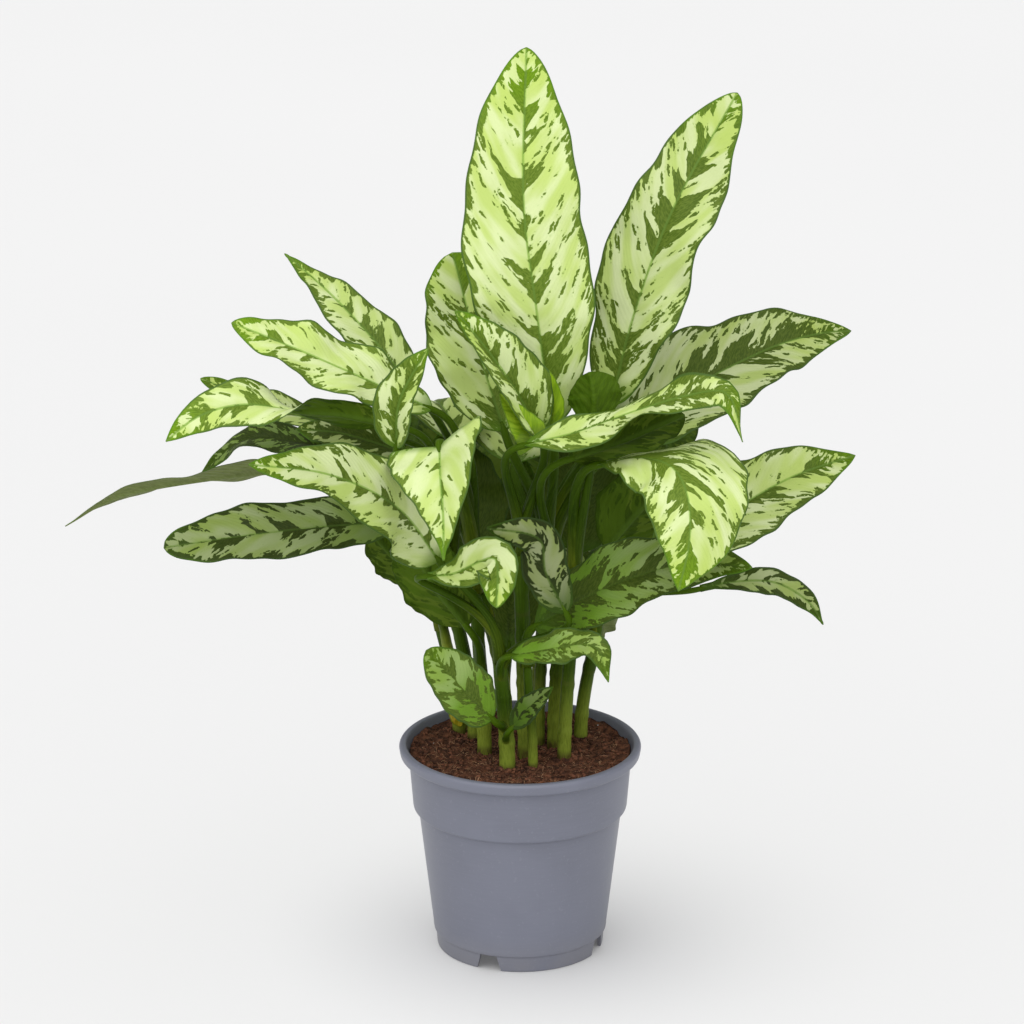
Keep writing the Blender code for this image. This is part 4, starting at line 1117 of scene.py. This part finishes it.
def build_fibres(material, seed):
    """Short curved fibres that lie on the soil, a few of them standing up a little."""
    rng = random.Random(seed)
    points, faces = [], []
    for _ in range(FIBRES):
        x, y = on_soil(rng, 8)
        turn = rng.uniform(0, 2 * math.pi)
        bend = rng.uniform(-0.9, 0.9)
        length = rng.uniform(4, 13)
        lift = rng.uniform(0.2, 2.6) if rng.random() < 0.3 else rng.uniform(0, 0.6)
        radius = rng.uniform(0.12, 0.32)
        faces.extend(tube_faces(len(points), len(FIBRE_CORNERS), FIBRE_STEPS + 1))
        for k in range(FIBRE_STEPS + 1):
            t = k / FIBRE_STEPS
            px, py = x + math.cos(turn) * length * t / 2, y + math.sin(turn) * length * t / 2
            turn += bend / FIBRE_STEPS
            reach, limit = math.hypot(px, py), soil_reach(1.5)
            if reach > limit:
                px, py = px * limit / reach, py * limit / reach
            z = soil_height(px, py) + 0.35 + lift * math.sin(math.pi * t)
            side = Vector((-math.sin(turn), math.cos(turn), 0))
            thin = radius * (1 - 0.6 * t)
            for a in FIBRE_CORNERS:
                points.append(Vector((px, py, z)) + side * (math.cos(a) * thin)
                              + Vector((0, 0, math.sin(a) * thin)))
    new_piece("soil_fibres", points, faces, [material])


def rounded(corners, steps=5):
    """An outline whose corners (radius, height, rounding) become small arcs."""
    outline = []
    for k, (r, z, rounding) in enumerate(corners):
        here = Vector((r, z))
        if rounding <= 0:
            outline.append((r, z))
            continue
        before = Vector(corners[k - 1][:2]) - here
        after = Vector(corners[(k + 1) % len(corners)][:2]) - here
        cut = min(rounding, before.length * 0.45, after.length * 0.45)
        a, b = here + before.normalized() * cut, here + after.normalized() * cut
        for n in range(steps + 1):
            t = n / steps
            outline.append(tuple(a * (1 - t)**2 + here * (2 * t * (1 - t)) + b * t * t))
    return outline


def pot_outline():
    """The pot's section, from the foot ring's inner edge round the outside and down the inside."""
    foot_inner = FOOT_RING_RADIUS - WALL - EDGE_SLANT
    lip_foot = POT_HEIGHT - LIP_HEIGHT
    return rounded([
        (foot_inner, 0, 0.3), (FOOT_RING_RADIUS, 0, 0.5),
        (BODY_FOOT_RADIUS - 1.4, FOOT_RING_HEIGHT - 1.0, 0.3),
        (BODY_FOOT_RADIUS - 0.1, FOOT_RING_HEIGHT, 0.6),
        (BODY_FOOT_RADIUS + 0.2, FOOT_RING_HEIGHT + 2.0, 0.6),
        (BODY_FOOT_RADIUS + 0.35, FOOT_RING_HEIGHT + 4.6, 0.8), (BODY_TOP_RADIUS, STEP_HEIGHT - WALL, 1.2),
        (COLLAR_FOOT_RADIUS - 0.4, COLLAR_FOOT_HEIGHT - WALL - 0.3, 0.9),
        (COLLAR_FOOT_RADIUS, COLLAR_FOOT_HEIGHT - WALL + 1.2, 0.8),
        (COLLAR_TOP_RADIUS, RIM_TURN_HEIGHT, 0.8), (RIM_RADIUS - 1, lip_foot, 1.4),
        (RIM_RADIUS, POT_HEIGHT - 2, 1.6), (RIM_RADIUS - 1.4, POT_HEIGHT, 1.6),
        (MOUTH_RADIUS + 1, POT_HEIGHT, 1.2), (MOUTH_RADIUS, POT_HEIGHT - 1.6, 1.2),
        (COLLAR_TOP_RADIUS - WALL, RIM_TURN_HEIGHT, 1.2),
        (COLLAR_FOOT_RADIUS - WALL, COLLAR_FOOT_HEIGHT, 0.8),
        (BODY_TOP_RADIUS - WALL, STEP_HEIGHT, 0.8), (BODY_FOOT_RADIUS - WALL, FOOT_RING_HEIGHT + WALL, 1.0),
        (0.0, FOOT_RING_HEIGHT + WALL, 0), (0.0, FOOT_RING_HEIGHT - EDGE_SLANT, 0),
        (foot_inner, FOOT_RING_HEIGHT - EDGE_SLANT, 0.3),
    ])


def add_prism(bm, low, high):
    """A closed prism between two loops of points."""
    bottom, top = ([bm.verts.new(to_metres(p)) for p in loop] for loop in (low, high))
    bm.faces.new(reversed(bottom))
    bm.faces.new(top)
    for n in range(len(bottom)):
        m = (n + 1) % len(bottom)
        bm.faces.new((bottom[n], bottom[m], top[m], top[n]))


def notch_cutters():
    """Wedges that cut the foot ring's notches, narrower at the top."""
    bm = bmesh.new()
    low, high = -2.0, FOOT_RING_HEIGHT - EDGE_SLANT
    near, far = FOOT_NOTCH_REACH
    spread = (FOOT_NOTCH_WIDTH - FOOT_NOTCH_TOP_WIDTH) / 2 / high
    for k in range(FOOT_NOTCHES):
        turn = math.radians(FOOT_NOTCH_TURN - 90 + 360 / FOOT_NOTCHES * k)
        out = Vector((math.cos(turn), math.sin(turn), 0))
        side = Vector((-math.sin(turn), math.cos(turn), 0))
        loops = []
        for height in (low, high):
            half = FOOT_NOTCH_TOP_WIDTH / 2 + spread * (high - height)
            loops.append([out * reach + side * (half * hand) + Vector((0, 0, height))
                          for reach, hand in ((near, -1), (far, -1), (far, 1), (near, 1))])
        add_prism(bm, *loops)
    return add_bmesh("notches", bm)


def drain_cutters():
    """Pegs that cut the holes in the pot's floor."""
    bm = bmesh.new()
    for centre in circle(DRAIN_RING_RADIUS, turns_round(DRAIN_HOLES)):
        hole = circle(DRAIN_HOLE_RADIUS, turns_round(DRAIN_HOLE_SIDES, 0), centre)
        low, high = FOOT_RING_HEIGHT - 4, FOOT_RING_HEIGHT + WALL + 3
        add_prism(bm, [(x, y, low) for x, y in hole], [(x, y, high) for x, y in hole])
    return add_bmesh("drains", bm)


def build_pot(material):
    """The turned shell with its notches and drain holes cut."""
    bm = bmesh.new()
    rings = []
    for radius, height in pot_outline():
        if radius == 0:
            rings.append([bm.verts.new(to_metres((0, 0, height)))] * POT_SEGMENTS)
        else:
            rings.append([bm.verts.new(to_metres((x, y, height)))
                          for x, y in circle(radius, turns_round(POT_SEGMENTS))])
    for lower, upper in zip(rings, rings[1:] + rings[:1]):
        for k in range(POT_SEGMENTS):
            n = (k + 1) % POT_SEGMENTS
            # On the axis, corners fall together
            corners = list(dict.fromkeys((lower[k], lower[n], upper[n], upper[k])))
            if len(corners) > 2:
                bm.faces.new(corners)
    shell = add_bmesh("pot_shell", bm)
    for cutters in (notch_cutters(), drain_cutters()):
        cut = shell.modifiers.new("cut", "BOOLEAN")
        cut.operation = "DIFFERENCE"
        cut.object = cutters
        cut.solver = "EXACT"
        bpy.context.view_layer.update()
        depsgraph = bpy.context.evaluated_depsgraph_get()
        made = bpy.data.meshes.new_from_object(shell.evaluated_get(depsgraph))
        shell.modifiers.remove(cut)
        shell.data = made
        bpy.data.objects.remove(cutters)
    shell.data.materials.clear()
    shell.data.materials.append(material)
    shell.data.shade_smooth()
    shell.data.set_sharp_from_angle(angle=math.radians(SHARP_ANGLE))
    declare(shell, "pot")


def build_studio():
    """A pale floor, soft light from above and the front, and the camera.

    As in the photo, only the pot throws a shadow on the floor: the two lights in front light only
    the plant, and the light above lights only the floor and is stopped only by the pot.
    """
    scene = bpy.context.scene
    mesh = bpy.data.meshes.new("studio_floor")
    corners = [(-1, -1), (1, -1), (1, 1), (-1, 1)]
    mesh.from_pydata([(x * FLOOR_REACH, y * FLOOR_REACH, 0) for x, y in corners], [], [(0, 1, 2, 3)])
    mesh.materials.append(floor_material())
    ground, plant, holder = (bpy.data.collections.new(name) for name in ("ground", "plant", "holder"))
    for piece in scene.objects:
        if piece.type == "MESH":
            plant.objects.link(piece)
    holder.objects.link(bpy.data.objects["pot_shell"])
    floor = add_object("studio_floor", mesh)
    floor.location.z = -FLOOR_DROP
    ground.objects.link(floor)
    scene.world = bpy.data.worlds.new("studio")
    scene.world.use_nodes = True
    backdrop = scene.world.node_tree.nodes["Background"].inputs
    backdrop["Color"].default_value = (1.0, 1.0, 1.0, 1.0)
    backdrop["Strength"].default_value = BACKDROP_STRENGTH
    scene.view_settings.view_transform = "Standard"
    for name, place, spread, power, receivers, blockers in (
        ("key", (-0.50, -0.90, 1.15), 75.0, 1.58, plant, plant),
        ("fill", (0.60, -0.80, 1.00), 75.0, 0.78, plant, plant),
        ("ground", (-0.16, -0.08, 1.00), 90.0, 2.30, ground, holder),
    ):
        light = bpy.data.lights.new(name, "SUN")
        light.angle = math.radians(spread)
        light.energy = power
        lamp = add_object(name, light)
        lamp.location = place
        lamp.rotation_mode = "QUATERNION"
        lamp.rotation_quaternion = (-Vector(place)).to_track_quat("-Z", "Y")
        lamp.light_linking.receiver_collection = receivers
        lamp.light_linking.blocker_collection = blockers
    camera = bpy.data.cameras.new("camera")
    camera.lens = CAMERA_LENS
    camera.sensor_width = 36.0
    camera.clip_start, camera.clip_end = 0.1, 100.0
    scene.camera = add_object("camera", camera)
    x, y, z = CAMERA_PLACE
    scene.camera.location = (AXIS.x + x, AXIS.y + y, z)
    scene.camera.rotation_euler = (math.radians(CAMERA_TILT), 0, 0)


def main():
    blades = [blade_material(), underside_material()]
    for index, (name, leaf) in enumerate(LEAVES.items()):
        build_blade(name, leaf, blades, BLADE_SHIFT * index, "leaf_" + name)
    stem = stem_material()
    for index, (name, shoot) in enumerate(SHOOTS.items()):
        carried = [leaf for leaf in LEAVES.values() if leaf.shoot == name]
        build_shoot(index, name, shoot, carried, stem)
    lime = young_material("young_leaf", (0.190, 0.340, 0.008), (0.330, 0.510, 0.020))
    amber = young_material("young_sheath", (0.330, 0.290, 0.010), (0.560, 0.420, 0.030))
    for index, (name, leaf) in enumerate(YOUNG.items()):
        young = amber if name == "young_low" else lime
        build_blade(name, leaf, [young, young], BLADE_SHIFT * (YOUNG_START + index))
    build_pot(pot_material())
    build_soil(soil_material())
    crumb = grain_material("crumb", (0.040, 0.016, 0.009), (0.200, 0.080, 0.042), 160.0, 0.95)
    build_lumps("soil_crumbs", CRUMBS, CRUMB_SIZES, crumb, seed=5)
    build_lumps("cane_crumbs", CANE_CRUMBS, CANE_CRUMB_SIZES, crumb, seed=6, place=by_cane)
    fibre = grain_material("fibre", (0.190, 0.085, 0.042), (0.520, 0.300, 0.170), 90.0, 0.85)
    build_fibres(fibre, seed=11)
    white = grain_material("perlite", (0.560, 0.550, 0.520), (0.820, 0.810, 0.780), 400.0, 0.9)
    build_lumps("soil_perlite", PERLITE, PERLITE_SIZES, white, seed=9, level=2)
    build_studio()


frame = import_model()
pot_low, pot_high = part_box("pot")
AXIS = (pot_low + pot_high) / 2
main()
